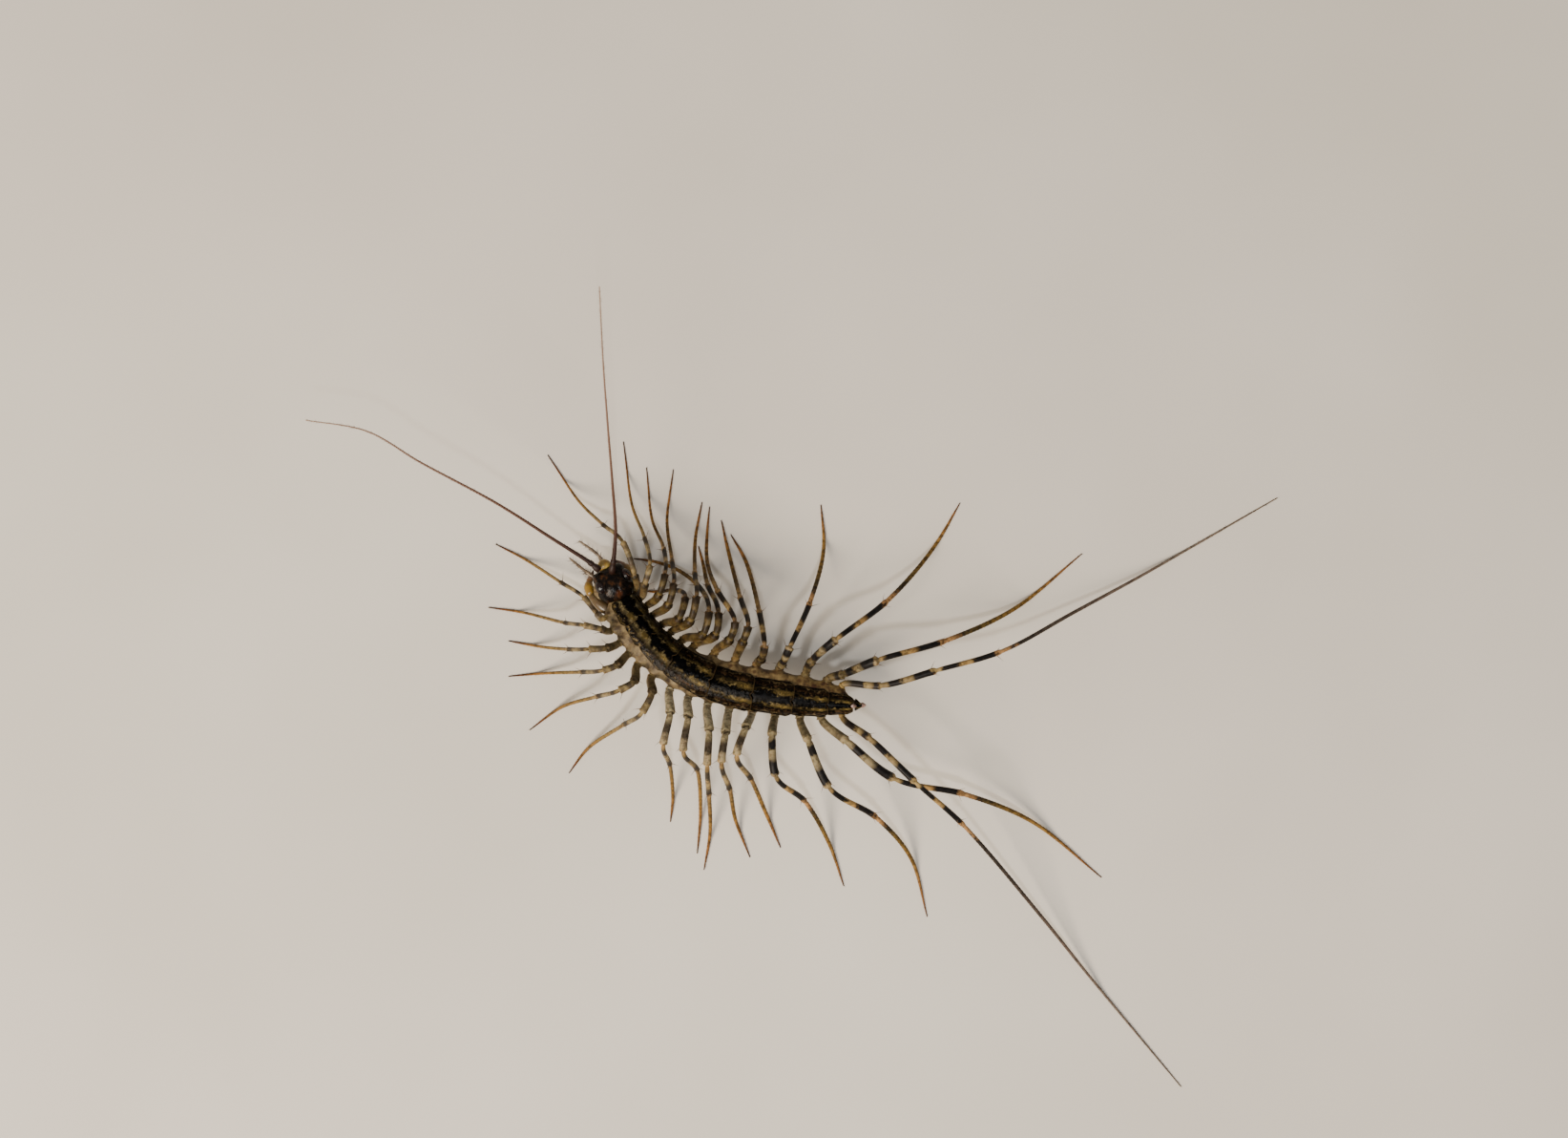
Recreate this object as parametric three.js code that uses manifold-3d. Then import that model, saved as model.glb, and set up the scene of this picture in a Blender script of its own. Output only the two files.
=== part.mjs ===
// House centipede (Scutigera coleoptrata), standing on a flat floor with its legs spread, in millimetres.
// +Z is up, +X points to the tail's side of the pose, and the floor is Z = 0.
import * as THREE from 'three';
import { mergeVertices } from 'three/addons/utils/BufferGeometryUtils.js';
import Module from 'manifold-3d';

const wasm = await Module();
wasm.setup();
const { Manifold, Mesh } = wasm;

// The pose was read from a view straight down: each place is a pixel of that view and a height.
const VIEW_WIDTH = 130;
const VIEW_PIXELS = [1643, 1192];
const VIEW_EYE_HEIGHT = 200;
const ORIGIN_PIXEL = [841.3, 733.3];

// Driving dimensions
const GAP = 0.3;
const BODY_LENGTH = 26;
const HEAD_LENGTH = 3.3;
const HEAD_WIDTH = 3.1;
const HEAD_HEIGHT = 2.3;
const HEAD_SET_BACK = 0.45;
const HEAD_TAPER_FRONT = 0.16;
const HEAD_TAPER_BACK = 0.16;
const HEAD_SLOPE_FRONT = 0.18;
const LIP_LENGTH = 1;
const LIP_WIDTH = 1.2;
const LIP_AHEAD = 1.55;
const LIP_BELOW = 0.1;
const EYE_LENGTH = 1.15;
const EYE_WIDTH = 0.85;
const EYE_HEIGHT = 1.1;
const EYE_PLACE = { ahead: 0.4, aside: 1.14, above: 0.32 };
const BODY_WIDTH = 2.9;
const BODY_THICKNESS = 2.3;
const BELLY_SHARE = 0.85;
const PLATE_OVERHANG = 0.14;
const PLATE_RISE_FRONT = 0.12;
const PLATE_RISE_BACK = 0.26;
const PLATE_SWEEP = 68;
const PLATE_DEPTH = 0.45;
const STOMA_NOTCH = 0.32;
const STOMA_WIDTH = 0.12;
const THIN_LIMB = 0.28;
const TIP_RADIUS = 0.14;
const COXA_ABOVE = -0.15;
const COXA_START = { aside: 0.45, above: -0.35 };

// The back's middle line from the front of the head to the tail's tip: pixel across, pixel down, height
const SPINE = [
  [632, 590, 3.9], [646, 617, 4.0], [659, 642, 4.1], [684, 674, 4.3], [716, 700, 4.4],
  [764, 720, 4.4], [815, 729, 4.4], [862, 735, 4.4], [905, 738, 4.6],
];

// Each list pairs a distance behind the front of the head with a value there.
const ROLL_DEGREES = [
  [0, 6], [2, 10], [4, 27], [5.5, 31], [8.2, 21], [11.4, 13], [13.8, 0], [16.8, -7], [19.7, -11], [26, -11],
];
const WIDTH_SHARE = [
  [2.8, 0.84], [5, 0.9], [8.2, 0.94], [11.4, 1], [17, 0.98], [19.7, 0.92], [22.5, 0.72], [24.1, 0.52],
  [25.2, 0.36], [26, 0.2],
];
const THICKNESS_SHARE = [[2.8, 0.8], [6, 0.92], [12, 1], [19, 0.96], [23.5, 0.76], [25, 0.54], [26, 0.28]];

// How far the soft flank swells out past the plates. The lean shows it on the left in front and on the
// right behind.
const FLANK_SWELL = {
  left: [[2.8, 0.1], [3.6, 0.5], [5, 0.75], [8, 0.65], [11, 0.3], [14, 0.1], [24, 0.05]],
  right: [[3, 0.05], [9, 0.15], [12, 0.45], [15, 0.7], [21, 0.8], [23.5, 0.75], [25, 0.3], [26, 0.1]],
};

// Eight back plates and the end piece that bears none, by where each begins
const SEGMENT_STARTS = [3.5, 5.2, 7.1, 9.6, 13.2, 16.7, 20.0, 22.9];
const TELSON_START = 24.8;

// How far behind the front of the head each leg grows
const LEG_ROOTS = {
  left: [4.0, 5.0, 6.1, 7.1, 8.1, 9.4, 10.9, 12.3, 13.8, 15.4, 17.1, 19.0, 21.0, 22.7, 24.3],
  right: [3.0, 3.9, 4.8, 5.8, 7.0, 8.1, 9.4, 10.7, 12.8, 14.8, 16.9, 18.8, 21.0, 22.9, 24.2],
};

// Half the thickness of the upper leg by pair: slim in front, stoutest at pair 14, slim in the trailing pair
const THIGH_RADIUS = [[1, 0.28], [5, 0.31], [8, 0.35], [12, 0.37], [13, 0.39], [14, 0.43], [15, 0.3]];

// The coxa's half thickness by pair, and how far out of the flank it carries the leg, by its root's distance
// behind the front of the head: the body leans, so one side's coxae stick out and the other's hang down.
const COXA_RADIUS = [[1, 0.3], [6, 0.35], [10, 0.46], [13, 0.5], [14, 0.48], [15, 0.34]];
const COXA_REACH = {
  left: [[3, 0.7], [5, 0.95], [8, 0.85], [12, 0.6], [16, 0.45], [24, 0.45]],
  right: [[3, 0.25], [5, 0.4], [9, 0.6], [13, 0.95], [19, 0.95], [22, 0.9], [24.5, 0.75]],
};

// Heights of the end of the prefemur, the knee and the ankle by pair
const LEG_RISE = [[1, 6.2], [4, 6.7], [10, 6.6], [13, 6.2], [15, 6]];
const KNEE_RISE = [[1, 6.3], [4, 7.0], [10, 7.0], [13, 6.2], [15, 5.6]];
const ANKLE_RISE = [[1, 3.4], [8, 3.1], [13, 3.0], [15, 3.6]];

// Where each leg bends, from the end of the prefemur over knee and ankle, and how its tarsus lies to the tip
const LEG_POSES = {
  left: [
    {
      joints: [[626, 643], [611, 625], [586, 609]],
      tarsus: [[552, 587], [520, 570]],
      rise: [2.2, 2.1, 1.6],
    },
    { joints: [[630, 659], [612, 655], [590, 652]], tarsus: [[550, 642], [513, 636]] },
    { joints: [[635, 679], [617, 680], [594, 680]], tarsus: [[564, 677], [534, 671]] },
    { joints: [[646, 697], [632, 702], [608, 704]], tarsus: [[575, 705], [534, 708]] },
    { joints: [[664, 714], [649, 723], [624, 730]], tarsus: [[588, 741], [556, 764]] },
    { joints: [[683, 726], [673, 746], [652, 760]], tarsus: [[616, 784], [597, 809]] },
    { joints: [[702, 748], [695, 780], [702, 802]], tarsus: [[705, 836], [703, 860]] },
    { joints: [[721, 752], [716, 787], [731, 808]], tarsus: [[734, 850], [731, 893]] },
    { joints: [[743, 766], [741, 802], [743, 834]], tarsus: [[744, 872], [738, 910]] },
    { joints: [[760, 769], [756, 799], [765, 828]], tarsus: [[771, 860], [786, 897]] },
    { joints: [[781, 763], [772, 791], [788, 818]], tarsus: [[804, 855], [818, 887]] },
    { joints: [[809, 771], [813, 813], [844, 840]], tarsus: [[869, 884], [884, 927]] },
    { joints: [[847, 776], [869, 825], [919, 857]], tarsus: [[955, 900], [971, 959]] },
    {
      joints: [[888, 777], [938, 816], [1011, 832]],
      tarsus: [[1082, 861], [1153, 918]],
      rise: [5.0, 4.4, 3.0],
    },
    {
      joints: [[912, 774], [960, 820], [1011, 866]],
      tarsus: [[1092, 961], [1145, 1027], [1235, 1135]],
      rise: [6.6, 7.6, 4.6],
    },
  ],
  right: [
    {
      joints: [[665, 602], [652, 567], [630, 548]],
      tarsus: [[605, 523], [575, 477]],
      rise: [4.9, 5.5, 3.6],
    },
    {
      joints: [[676, 611], [681, 592], [675, 562]],
      tarsus: [[662, 528], [654, 463]],
      rise: [6.4, 6.8, 3.6],
    },
    { joints: [[691, 622], [697, 601], [695, 573]], tarsus: [[683, 543], [678, 490]] },
    { joints: [[701, 632], [706, 611], [704, 586]], tarsus: [[699, 545], [706, 492]] },
    {
      joints: [[712, 647], [718, 626], [705, 618]],
      tarsus: [[690, 620], [676, 619]],
      rise: [6.4, 6.1, 2.0],
    },
    { joints: [[724, 649], [730, 624], [728, 598]], tarsus: [[729, 562], [736, 526]] },
    {
      joints: [[737, 664], [743, 640], [728, 610]],
      tarsus: [[706, 595], [684, 588], [664, 585]],
      rise: [6.5, 6.7, 1.7],
    },
    {
      joints: [[750, 664], [753, 642], [741, 611]],
      tarsus: [[737, 592], [732, 572]],
      rise: [6.4, 6.2, 1.6],
    },
    {
      joints: [[765, 669], [770, 651], [751, 617]],
      tarsus: [[741, 588], [741, 560], [744, 531]],
      rise: [6.6, 7.2, 4.8],
    },
    { joints: [[779, 671], [784, 656], [775, 624]], tarsus: [[763, 577], [756, 545]] },
    {
      joints: [[798, 690], [801, 676], [795, 638]],
      tarsus: [[781, 587], [766, 560]],
      rise: [6.0, 7.6, 4.4],
    },
    {
      joints: [[820, 695], [828, 677], [849, 630]],
      tarsus: [[863, 575], [860, 529]],
      rise: [6.2, 7.8, 4.2],
    },
    {
      joints: [[851, 692], [877, 669], [930, 629]],
      tarsus: [[978, 574], [1005, 527]],
      rise: [5.8, 7.8, 4.4],
    },
    {
      joints: [[884, 706], [921, 691], [991, 671]],
      tarsus: [[1067, 635], [1132, 580]],
      rise: [5.4, 7.4, 4.6],
    },
    {
      joints: [[924, 718], [982, 702], [1050, 682]],
      tarsus: [[1126, 641], [1212, 594], [1335, 522]],
      rise: [5.4, 6.2, 5.0],
    },
  ],
};

// Feelers and mouthparts as places along each: pixel across, pixel down, height
const ANTENNAE = {
  left: [[629, 598, 4.6], [617, 590, 5.0], [580, 565, 6.2], [520, 527, 7.8], [440, 484, 9], [385, 452, 9.6],
    [320, 440, 9.4]],
  right: [[641, 600, 4.6], [643, 586, 5.4], [645, 556, 7.0], [642, 510, 9], [637, 448, 12], [632, 380, 15.4],
    [628, 300, 19]],
};
const PALPS = {
  left: [[625, 606, 3.6], [613, 598, 3.5], [596, 584, 2.7]],
  right: [[637, 598, 2.7], [627, 582, 2.5], [606, 566, 2.1]],
};
const FORCIPULES = {
  left: [[648, 644, 3.5], [626, 631, 3.5], [617, 615, 3.0], [622, 597, 2.3]],
  right: [[664, 636, 2.4], [667, 614, 2.1], [657, 596, 2.3], [643, 586, 2.4]],
};

const UP = new THREE.Vector3(0, 0, 1);

// The named list's value at a place, read between its neighbours in an even slope
function listed(list, place) {
  const after = list.findIndex(([start]) => start > place);
  if (after === -1) return list[list.length - 1][1];
  if (after === 0) return list[0][1];
  const [[from, low], [to, high]] = [list[after - 1], list[after]];
  return THREE.MathUtils.mapLinear(place, from, to, low, high);
}

// A pixel of the view and a height, as a place in the model: what stands higher looks farther out.
function place([across, down, height]) {
  const millimetres = VIEW_WIDTH / VIEW_PIXELS[0];
  const nearness = 1 - height / VIEW_EYE_HEIGHT;
  const right = (across - VIEW_PIXELS[0] / 2) * nearness - (ORIGIN_PIXEL[0] - VIEW_PIXELS[0] / 2);
  const below = (down - VIEW_PIXELS[1] / 2) * nearness - (ORIGIN_PIXEL[1] - VIEW_PIXELS[1] / 2);
  return new THREE.Vector3(right * millimetres, -below * millimetres, height);
}

const spine = new THREE.CatmullRomCurve3(SPINE.map(place));

// The body's own directions at a distance behind the front of the head, with its roll
function bodyFrame(distance) {
  const share = THREE.MathUtils.clamp(distance / BODY_LENGTH, 0, 1);
  const forward = spine.getTangentAt(share).negate();
  const left = new THREE.Vector3().crossVectors(UP, forward).normalize();
  const up = new THREE.Vector3().crossVectors(forward, left);
  const roll = THREE.MathUtils.degToRad(listed(ROLL_DEGREES, distance));
  left.applyAxisAngle(forward, roll);
  up.applyAxisAngle(forward, roll);
  return { centre: spine.getPointAt(share), forward, left, up };
}

function inFrame({ centre, forward, left, up }, ahead, aside, above) {
  const spot = centre.clone().addScaledVector(forward, ahead);
  return spot.addScaledVector(left, aside).addScaledVector(up, above);
}

// Solids from geometry, and joins and cuts of them
function solid(geometry) {
  geometry.deleteAttribute('normal');
  geometry.deleteAttribute('uv');
  const { attributes, index } = mergeVertices(geometry, 1e-5);
  return new Manifold(new Mesh({
    numProp: 3,
    vertProperties: new Float32Array(attributes.position.array),
    triVerts: new Uint32Array(index.array),
  }));
}

function largest(body) {
  const pieces = body.decompose();
  return pieces.reduce((most, piece) => (piece.volume() > most.volume() ? piece : most));
}

const centipede = new THREE.Group();

function addNode(name, body, colour, roughness) {
  const { vertProperties, triVerts } = largest(body).getMesh();
  const geometry = new THREE.BufferGeometry();
  geometry.setAttribute('position', new THREE.BufferAttribute(vertProperties, 3));
  geometry.setIndex(new THREE.BufferAttribute(triVerts, 1));
  geometry.computeVertexNormals();
  const material = new THREE.MeshStandardMaterial({ color: colour, roughness, metalness: 0 });
  const node = new THREE.Mesh(geometry, material);
  node.name = name;
  centipede.add(node);
}

// Moves each corner of a geometry to where a function of its own place puts it
function reshape(geometry, move) {
  const { position } = geometry.attributes;
  const corner = new THREE.Vector3();
  for (let i = 0; i < position.count; i += 1) {
    corner.fromBufferAttribute(position, i);
    position.setXYZ(i, ...move(corner));
  }
  return geometry;
}

// A limb is a six-sided closed bar through its joints. A ring's number is the joint it is at, with the part
// of the way to the next one behind the point. What reaches the floor lies flat on it.
const LIMB_SIDES = 6;
const FLAT_SHARE = Math.cos(Math.PI / LIMB_SIDES);
const STEEP_LEVEL = 0.3;

function limb(joints, rings) {
  const curve = new THREE.CatmullRomCurve3(joints, false, 'centripetal');
  const side = new THREE.Vector3().crossVectors(curve.getTangent(0), UP).normalize();
  const sections = rings.map(([joint, radius]) => {
    const share = joint / (joints.length - 1);
    const along = curve.getTangent(share);
    const centre = curve.getPoint(share);
    if (centre.z < radius * FLAT_SHARE) {
      centre.z = radius * FLAT_SHARE;
      along.setZ(0).normalize();
    }
    const level = new THREE.Vector3().crossVectors(along, UP);
    const steep = level.length() < STEEP_LEVEL;
    if (steep) level.copy(side).addScaledVector(along, -side.dot(along));
    side.copy(level.dot(side) < 0 ? level.negate() : level).normalize();
    return { centre, radius, left: side.clone(), up: new THREE.Vector3().crossVectors(along, side) };
  });
  const bar = new THREE.CylinderGeometry(1, 1, 1, LIMB_SIDES, rings.length - 1, false, Math.PI / LIMB_SIDES);
  return solid(reshape(bar, ({ x, y, z }) => {
    const { centre, radius, left, up } = sections[Math.round((0.5 - y) * (rings.length - 1))];
    const spot = centre.clone().addScaledVector(left, x * radius).addScaledVector(up, z * radius);
    spot.z = Math.max(spot.z, 0);
    return spot;
  }));
}

// A length of the trunk without its plate: an oval bar, flatter below than above, whose flanks swell
const FLESH_SIDES = 16;
const SWELL_ABOVE = -0.3;

function fleshBar(from, to, rings, extra) {
  const bar = new THREE.CylinderGeometry(1, 1, 1, FLESH_SIDES, rings);
  return solid(reshape(bar, ({ x, y, z }) => {
    const distance = THREE.MathUtils.lerp(from, to, 0.5 - y);
    const fullness = Math.max(0, 1 - (z - SWELL_ABOVE) ** 2);
    const swell = listed(FLANK_SWELL[x < 0 ? 'left' : 'right'], distance) * fullness;
    const halfWidth = listed(WIDTH_SHARE, distance) * BODY_WIDTH / 2 + swell + extra;
    const halfThickness = listed(THICKNESS_SHARE, distance) * BODY_THICKNESS / 2 + extra;
    return inFrame(bodyFrame(distance), 0, -x * halfWidth, z * (z < 0 ? BELLY_SHARE : 1) * halfThickness);
  }));
}

// A back plate: a saddle over the top of the trunk that rises to its hind edge, where the middle is notched
// by the breathing slit. Its front corners are drawn in, and its underside lies well inside the trunk.
const PLATE_COLUMNS = 10;
const CORNER_DRAW_IN = 0.06;

function backPlate(from, to, rows, extra) {
  const slab = new THREE.BoxGeometry(1, 1, 1, PLATE_COLUMNS, 1, rows);
  return solid(reshape(slab, ({ x, y, z }) => {
    const share = z + 0.5;
    const outside = y > 0;
    const sweep = THREE.MathUtils.degToRad(2 * x * PLATE_SWEEP * (1 - CORNER_DRAW_IN * (1 - share)));
    const notch = STOMA_NOTCH * Math.exp(-((x / STOMA_WIDTH) ** 2)) * share ** 4;
    const distance = THREE.MathUtils.lerp(from, to, share) - notch;
    const lift = THREE.MathUtils.lerp(PLATE_RISE_FRONT, PLATE_RISE_BACK, share);
    const rise = outside ? lift + extra : -PLATE_DEPTH;
    const overhang = outside ? PLATE_OVERHANG + extra : -PLATE_DEPTH;
    const halfWidth = listed(WIDTH_SHARE, distance) * BODY_WIDTH / 2 + overhang;
    const halfThickness = listed(THICKNESS_SHARE, distance) * BODY_THICKNESS / 2 + rise;
    return inFrame(bodyFrame(distance), 0, -Math.sin(sweep) * halfWidth, Math.cos(sweep) * halfThickness);
  }));
}

// The head capsule: an egg seen from above, lower in front, with the pale lip between the feelers
const headFrame = bodyFrame(HEAD_LENGTH / 2 + HEAD_SET_BACK);

// A ball in the head's frame: its points (ahead, aside, above), each from -1 to 1, go where shape puts them
function headBall(around, rows, shape) {
  const ball = new THREE.SphereGeometry(1, around, rows);
  return solid(reshape(ball, ({ x, y, z }) => inFrame(headFrame, ...shape(y, -x, z))));
}

function headCapsule(extra) {
  const egg = headBall(20, 14, (ahead, aside, above) => {
    const taper = 1 - (ahead < 0 ? HEAD_TAPER_BACK : HEAD_TAPER_FRONT) * ahead ** 2;
    const slope = 1 - (ahead > 0 ? HEAD_SLOPE_FRONT : 0) * ahead ** 2;
    return [
      ahead * (HEAD_LENGTH / 2 + extra),
      aside * (HEAD_WIDTH / 2 + extra) * taper,
      above * (HEAD_HEIGHT / 2 + extra) * slope,
    ];
  });
  const half = LIP_LENGTH / 2 + extra;
  const lip = headBall(12, 8, (ahead, aside, above) => [
    LIP_AHEAD + ahead * half, aside * (LIP_WIDTH / 2 + extra), above * half - LIP_BELOW,
  ]);
  return egg.add(lip);
}

function eyeBall(side, extra) {
  return headBall(14, 10, (ahead, aside, above) => [
    EYE_PLACE.ahead + ahead * (EYE_LENGTH / 2 + extra),
    side * EYE_PLACE.aside + aside * (EYE_WIDTH / 2 + extra),
    EYE_PLACE.above + above * (EYE_HEIGHT / 2 + extra),
  ]);
}

const SIDES = { left: 1, right: -1 };
const headRoom = headCapsule(GAP);

let head = headCapsule(0);
for (const [name, side] of Object.entries(SIDES)) {
  head = head.subtract(eyeBall(side, GAP));
  addNode(`eye_${name}`, eyeBall(side, 0), 0x14100e, 0.25);
}
addNode('head', head, 0x2b1d12, 0.4);

// The trunk in its eight plated lengths, each parted from the next by a thin cut, and the end piece
const TRUNK_FRONT = SEGMENT_STARTS[0] - GAP;
const TRUNK_ROWS = 20;
const trunkRoom = fleshBar(TRUNK_FRONT, BODY_LENGTH, TRUNK_ROWS, GAP)
  .add(backPlate(TRUNK_FRONT, TELSON_START, TRUNK_ROWS, GAP));
SEGMENT_STARTS.forEach((start, i) => {
  const end = (SEGMENT_STARTS[i + 1] ?? TELSON_START) - GAP;
  const rings = Math.max(2, Math.round(end - start));
  let length = fleshBar(start, end, rings, 0).add(backPlate(start, end, rings + 1, 0));
  if (i < 2) length = length.subtract(headRoom);
  addNode(`trunk_${i + 1}`, length, 0x6e5a34, 0.35);
});
addNode('telson', fleshBar(TELSON_START, BODY_LENGTH, 3, 0), 0x4a3820, 0.4);

// Feelers, the second jaws' palps and the poison claws under the head, with their rings' radii by joint
const FEELER_ROOT = [[0, 0.3], [0.6, 0.3], [1, 0.29]];
const FEELER_STEP = 0.5;
const PALP_RINGS = [[0, 0.27], [0.5, 0.28], [1, 0.25], [1.5, 0.2], [2, TIP_RADIUS]];
const CLAW_RINGS = [
  [0, 0.42], [0.6, 0.46], [1, 0.42], [1.4, 0.44], [1.9, 0.44], [2.2, 0.36], [2.6, 0.24], [3, 0.12],
];

for (const name of Object.keys(SIDES)) {
  const feeler = ANTENNAE[name].map(place);
  const end = feeler.length - 1;
  const feelerRings = [...FEELER_ROOT];
  for (let ring = 1 + FEELER_STEP; ring <= end; ring += FEELER_STEP) {
    feelerRings.push([ring, THREE.MathUtils.mapLinear(ring, 1, end, THIN_LIMB, TIP_RADIUS)]);
  }
  addNode(`antenna_${name}`, limb(feeler, feelerRings).subtract(headRoom), 0x5b3a28, 0.5);

  const palp = limb(PALPS[name].map(place), PALP_RINGS).subtract(headRoom);
  addNode(`palp_${name}`, palp, 0x9a8458, 0.5);

  const claw = limb(FORCIPULES[name].map(place), CLAW_RINGS).subtract(headRoom).subtract(trunkRoom);
  addNode(`forcipule_${name}`, claw, 0xb58a3a, 0.35);
}

// A leg: coxa out of the flank, prefemur and femur up to the knee, tibia down to the ankle, and a long tarsus
// that comes down to the floor and lies on it to the tip. Each piece flares to its far end.
const PIECE_RINGS = [[0, 0.84], [0.14, 0.96], [0.5, 1], [0.88, 1.12]];
const TIBIA_SHARE = 0.72;
const COXA_END = 0.7;
const TROCHANTER = 0.92;
const ANKLE_POINT = 4;
const TARSUS_STEP = 1.6;
const TARSUS_TAPER = 1.5;
const TOUCHDOWN_SHARE = 0.72;
const DESCENT = 1.4;

function legSolid(pair, side, root, { joints, tarsus, rise }) {
  const heights = rise ?? [listed(LEG_RISE, pair), listed(KNEE_RISE, pair), listed(ANKLE_RISE, pair)];
  const bends = joints.map(([across, down], i) => place([across, down, heights[i]]));
  const ankle = bends[2];
  let reach = 0;
  const foot = tarsus.map((pixel) => place([...pixel, 0]));
  const stops = foot.map((spot, i) => {
    reach += spot.distanceTo(i ? foot[i - 1] : ankle.clone().setZ(0));
    return reach;
  });
  foot.forEach((spot, i) => {
    const clear = 1 - stops[i] / reach / TOUCHDOWN_SHARE;
    spot.copy(place([...tarsus[i], Math.sign(clear) * ankle.z * Math.abs(clear) ** DESCENT]));
  });

  const flank = bodyFrame(root);
  const halfWidth = listed(WIDTH_SHARE, root) * BODY_WIDTH / 2;
  const coxaReach = listed(COXA_REACH[side > 0 ? 'left' : 'right'], root);
  const inside = inFrame(flank, 0, side * halfWidth * COXA_START.aside, COXA_START.above);
  const trochanter = inFrame(flank, 0, side * (halfWidth + coxaReach), COXA_ABOVE);
  const points = [inside, trochanter, ...bends, ...foot];

  const thigh = listed(THIGH_RADIUS, pair);
  const pieceRadii = [thigh, thigh, Math.max(THIN_LIMB, thigh * TIBIA_SHARE)];
  const coxa = listed(COXA_RADIUS, pair);
  const rings = [[0, coxa], [COXA_END, coxa], [TROCHANTER, (coxa + thigh) / 2]];
  pieceRadii.forEach((radius, piece) => {
    PIECE_RINGS.forEach(([share, flare]) => rings.push([1 + piece + share, radius * flare]));
  });
  const last = points.length - 1;
  const steps = Math.round(reach / TARSUS_STEP);
  for (let step = 0; step <= steps; step += 1) {
    const radius = THREE.MathUtils.lerp(THIN_LIMB, TIP_RADIUS, (step / steps) ** TARSUS_TAPER);
    rings.push([THREE.MathUtils.lerp(ANKLE_POINT, last, step / steps), radius]);
  }
  return limb(points, rings).subtract(trunkRoom).subtract(headRoom);
}

for (const [name, side] of Object.entries(SIDES)) {
  LEG_POSES[name].forEach((pose, i) => {
    const number = String(i + 1).padStart(2, '0');
    addNode(`leg_${name}_${number}`, legSolid(i + 1, side, LEG_ROOTS[name][i], pose), 0xb9a070, 0.45);
  });
}

export default centipede;
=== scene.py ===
import math
import random
from functools import partial

import bpy
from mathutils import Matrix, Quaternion, Vector, noise


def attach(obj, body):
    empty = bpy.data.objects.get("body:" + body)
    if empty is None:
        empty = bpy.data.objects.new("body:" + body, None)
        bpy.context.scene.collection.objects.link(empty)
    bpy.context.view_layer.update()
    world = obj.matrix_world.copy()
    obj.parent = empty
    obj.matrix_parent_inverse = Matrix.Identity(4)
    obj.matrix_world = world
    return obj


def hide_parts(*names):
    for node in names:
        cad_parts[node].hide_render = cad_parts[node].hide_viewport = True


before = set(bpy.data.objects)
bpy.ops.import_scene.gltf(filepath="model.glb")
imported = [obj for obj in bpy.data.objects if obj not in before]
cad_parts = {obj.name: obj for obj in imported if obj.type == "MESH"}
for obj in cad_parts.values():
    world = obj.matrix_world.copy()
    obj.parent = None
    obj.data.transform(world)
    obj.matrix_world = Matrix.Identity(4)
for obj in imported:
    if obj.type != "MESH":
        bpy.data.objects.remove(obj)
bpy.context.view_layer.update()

# View from straight above
# The animal was seen from straight overhead. A place on it is given by the pixel of that view where it
# shows and by its height over the floor, because what stands higher looks farther from the middle.
MM = 0.001
VIEW_WIDTH = 130 * MM
VIEW_PIXELS = (1643, 1192)
VIEW_EYE_HEIGHT = 200 * MM
ORIGIN_PIXEL = (841.3, 733.3)
FILM_WIDTH = 36
NEAREST_SEEN = 5 * MM


def place(across, down, height):
    """A pixel of the view and a height in millimetres, as a point of the model in metres."""
    nearness = 1 - height * MM / VIEW_EYE_HEIGHT
    middle_x, middle_y = VIEW_PIXELS[0] / 2, VIEW_PIXELS[1] / 2
    right = (across - middle_x) * nearness - (ORIGIN_PIXEL[0] - middle_x)
    below = (down - middle_y) * nearness - (ORIGIN_PIXEL[1] - middle_y)
    pixel = VIEW_WIDTH / VIEW_PIXELS[0]
    return Vector((right * pixel, -below * pixel, height * MM))


bpy.ops.object.select_all(action="DESELECT")
eye_place = place(VIEW_PIXELS[0] / 2, VIEW_PIXELS[1] / 2, VIEW_EYE_HEIGHT / MM)
bpy.ops.object.camera_add(location=eye_place, rotation=(0, 0, 0))
camera = bpy.context.object
camera.data.sensor_width = FILM_WIDTH
camera.data.lens = FILM_WIDTH * VIEW_EYE_HEIGHT / VIEW_WIDTH
camera.data.clip_start = NEAREST_SEEN
bpy.context.scene.camera = camera


# Floor
# A plain pale floor of smooth paint, wide enough to fill every view. It isn't part of the animal.
FLOOR_WIDTH = 3000 * MM
PAINT_CLOUD = 40 * MM


def paint(hex_colour):
    """An sRGB hex colour as the linear colour that a shader takes."""
    channels = [int(hex_colour[i:i + 2], 16) / 255 for i in (1, 3, 5)]
    return [c / 12.92 if c <= 0.04045 else ((c + 0.055) / 1.055) ** 2.4 for c in channels] + [1]


def add_node(tree, kind, inputs, stops=(), **settings):
    """One shader node with its settings, its values and links, and the stops of its ramp if it has one.

    A node given for an input stands for its first output. A row of stops is one or more spots on the ramp
    and the colour, or the share of white, that holds there."""
    made = tree.nodes.new("ShaderNode" + kind)
    for name, value in settings.items():
        setattr(made, name, value)
    for i, (spot, colour) in enumerate((spot, row[-1]) for row in stops for spot in row[:-1]):
        stop = made.color_ramp.elements[i] if i < 2 else made.color_ramp.elements.new(spot)
        stop.position = spot
        stop.color = paint(colour) if isinstance(colour, str) else (colour, colour, colour, 1)
    for name, value in inputs.items():
        if isinstance(value, bpy.types.Node):
            value = value.outputs[0]
        if isinstance(value, bpy.types.NodeSocket):
            tree.links.new(value, made.inputs[name])
        else:
            made.inputs[name].default_value = value
    return made


def new_material(name):
    """An empty material, and the function that adds nodes to it."""
    material = bpy.data.materials.new(name)
    material.use_nodes = True
    material.node_tree.nodes.clear()
    return material, partial(add_node, material.node_tree)


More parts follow.
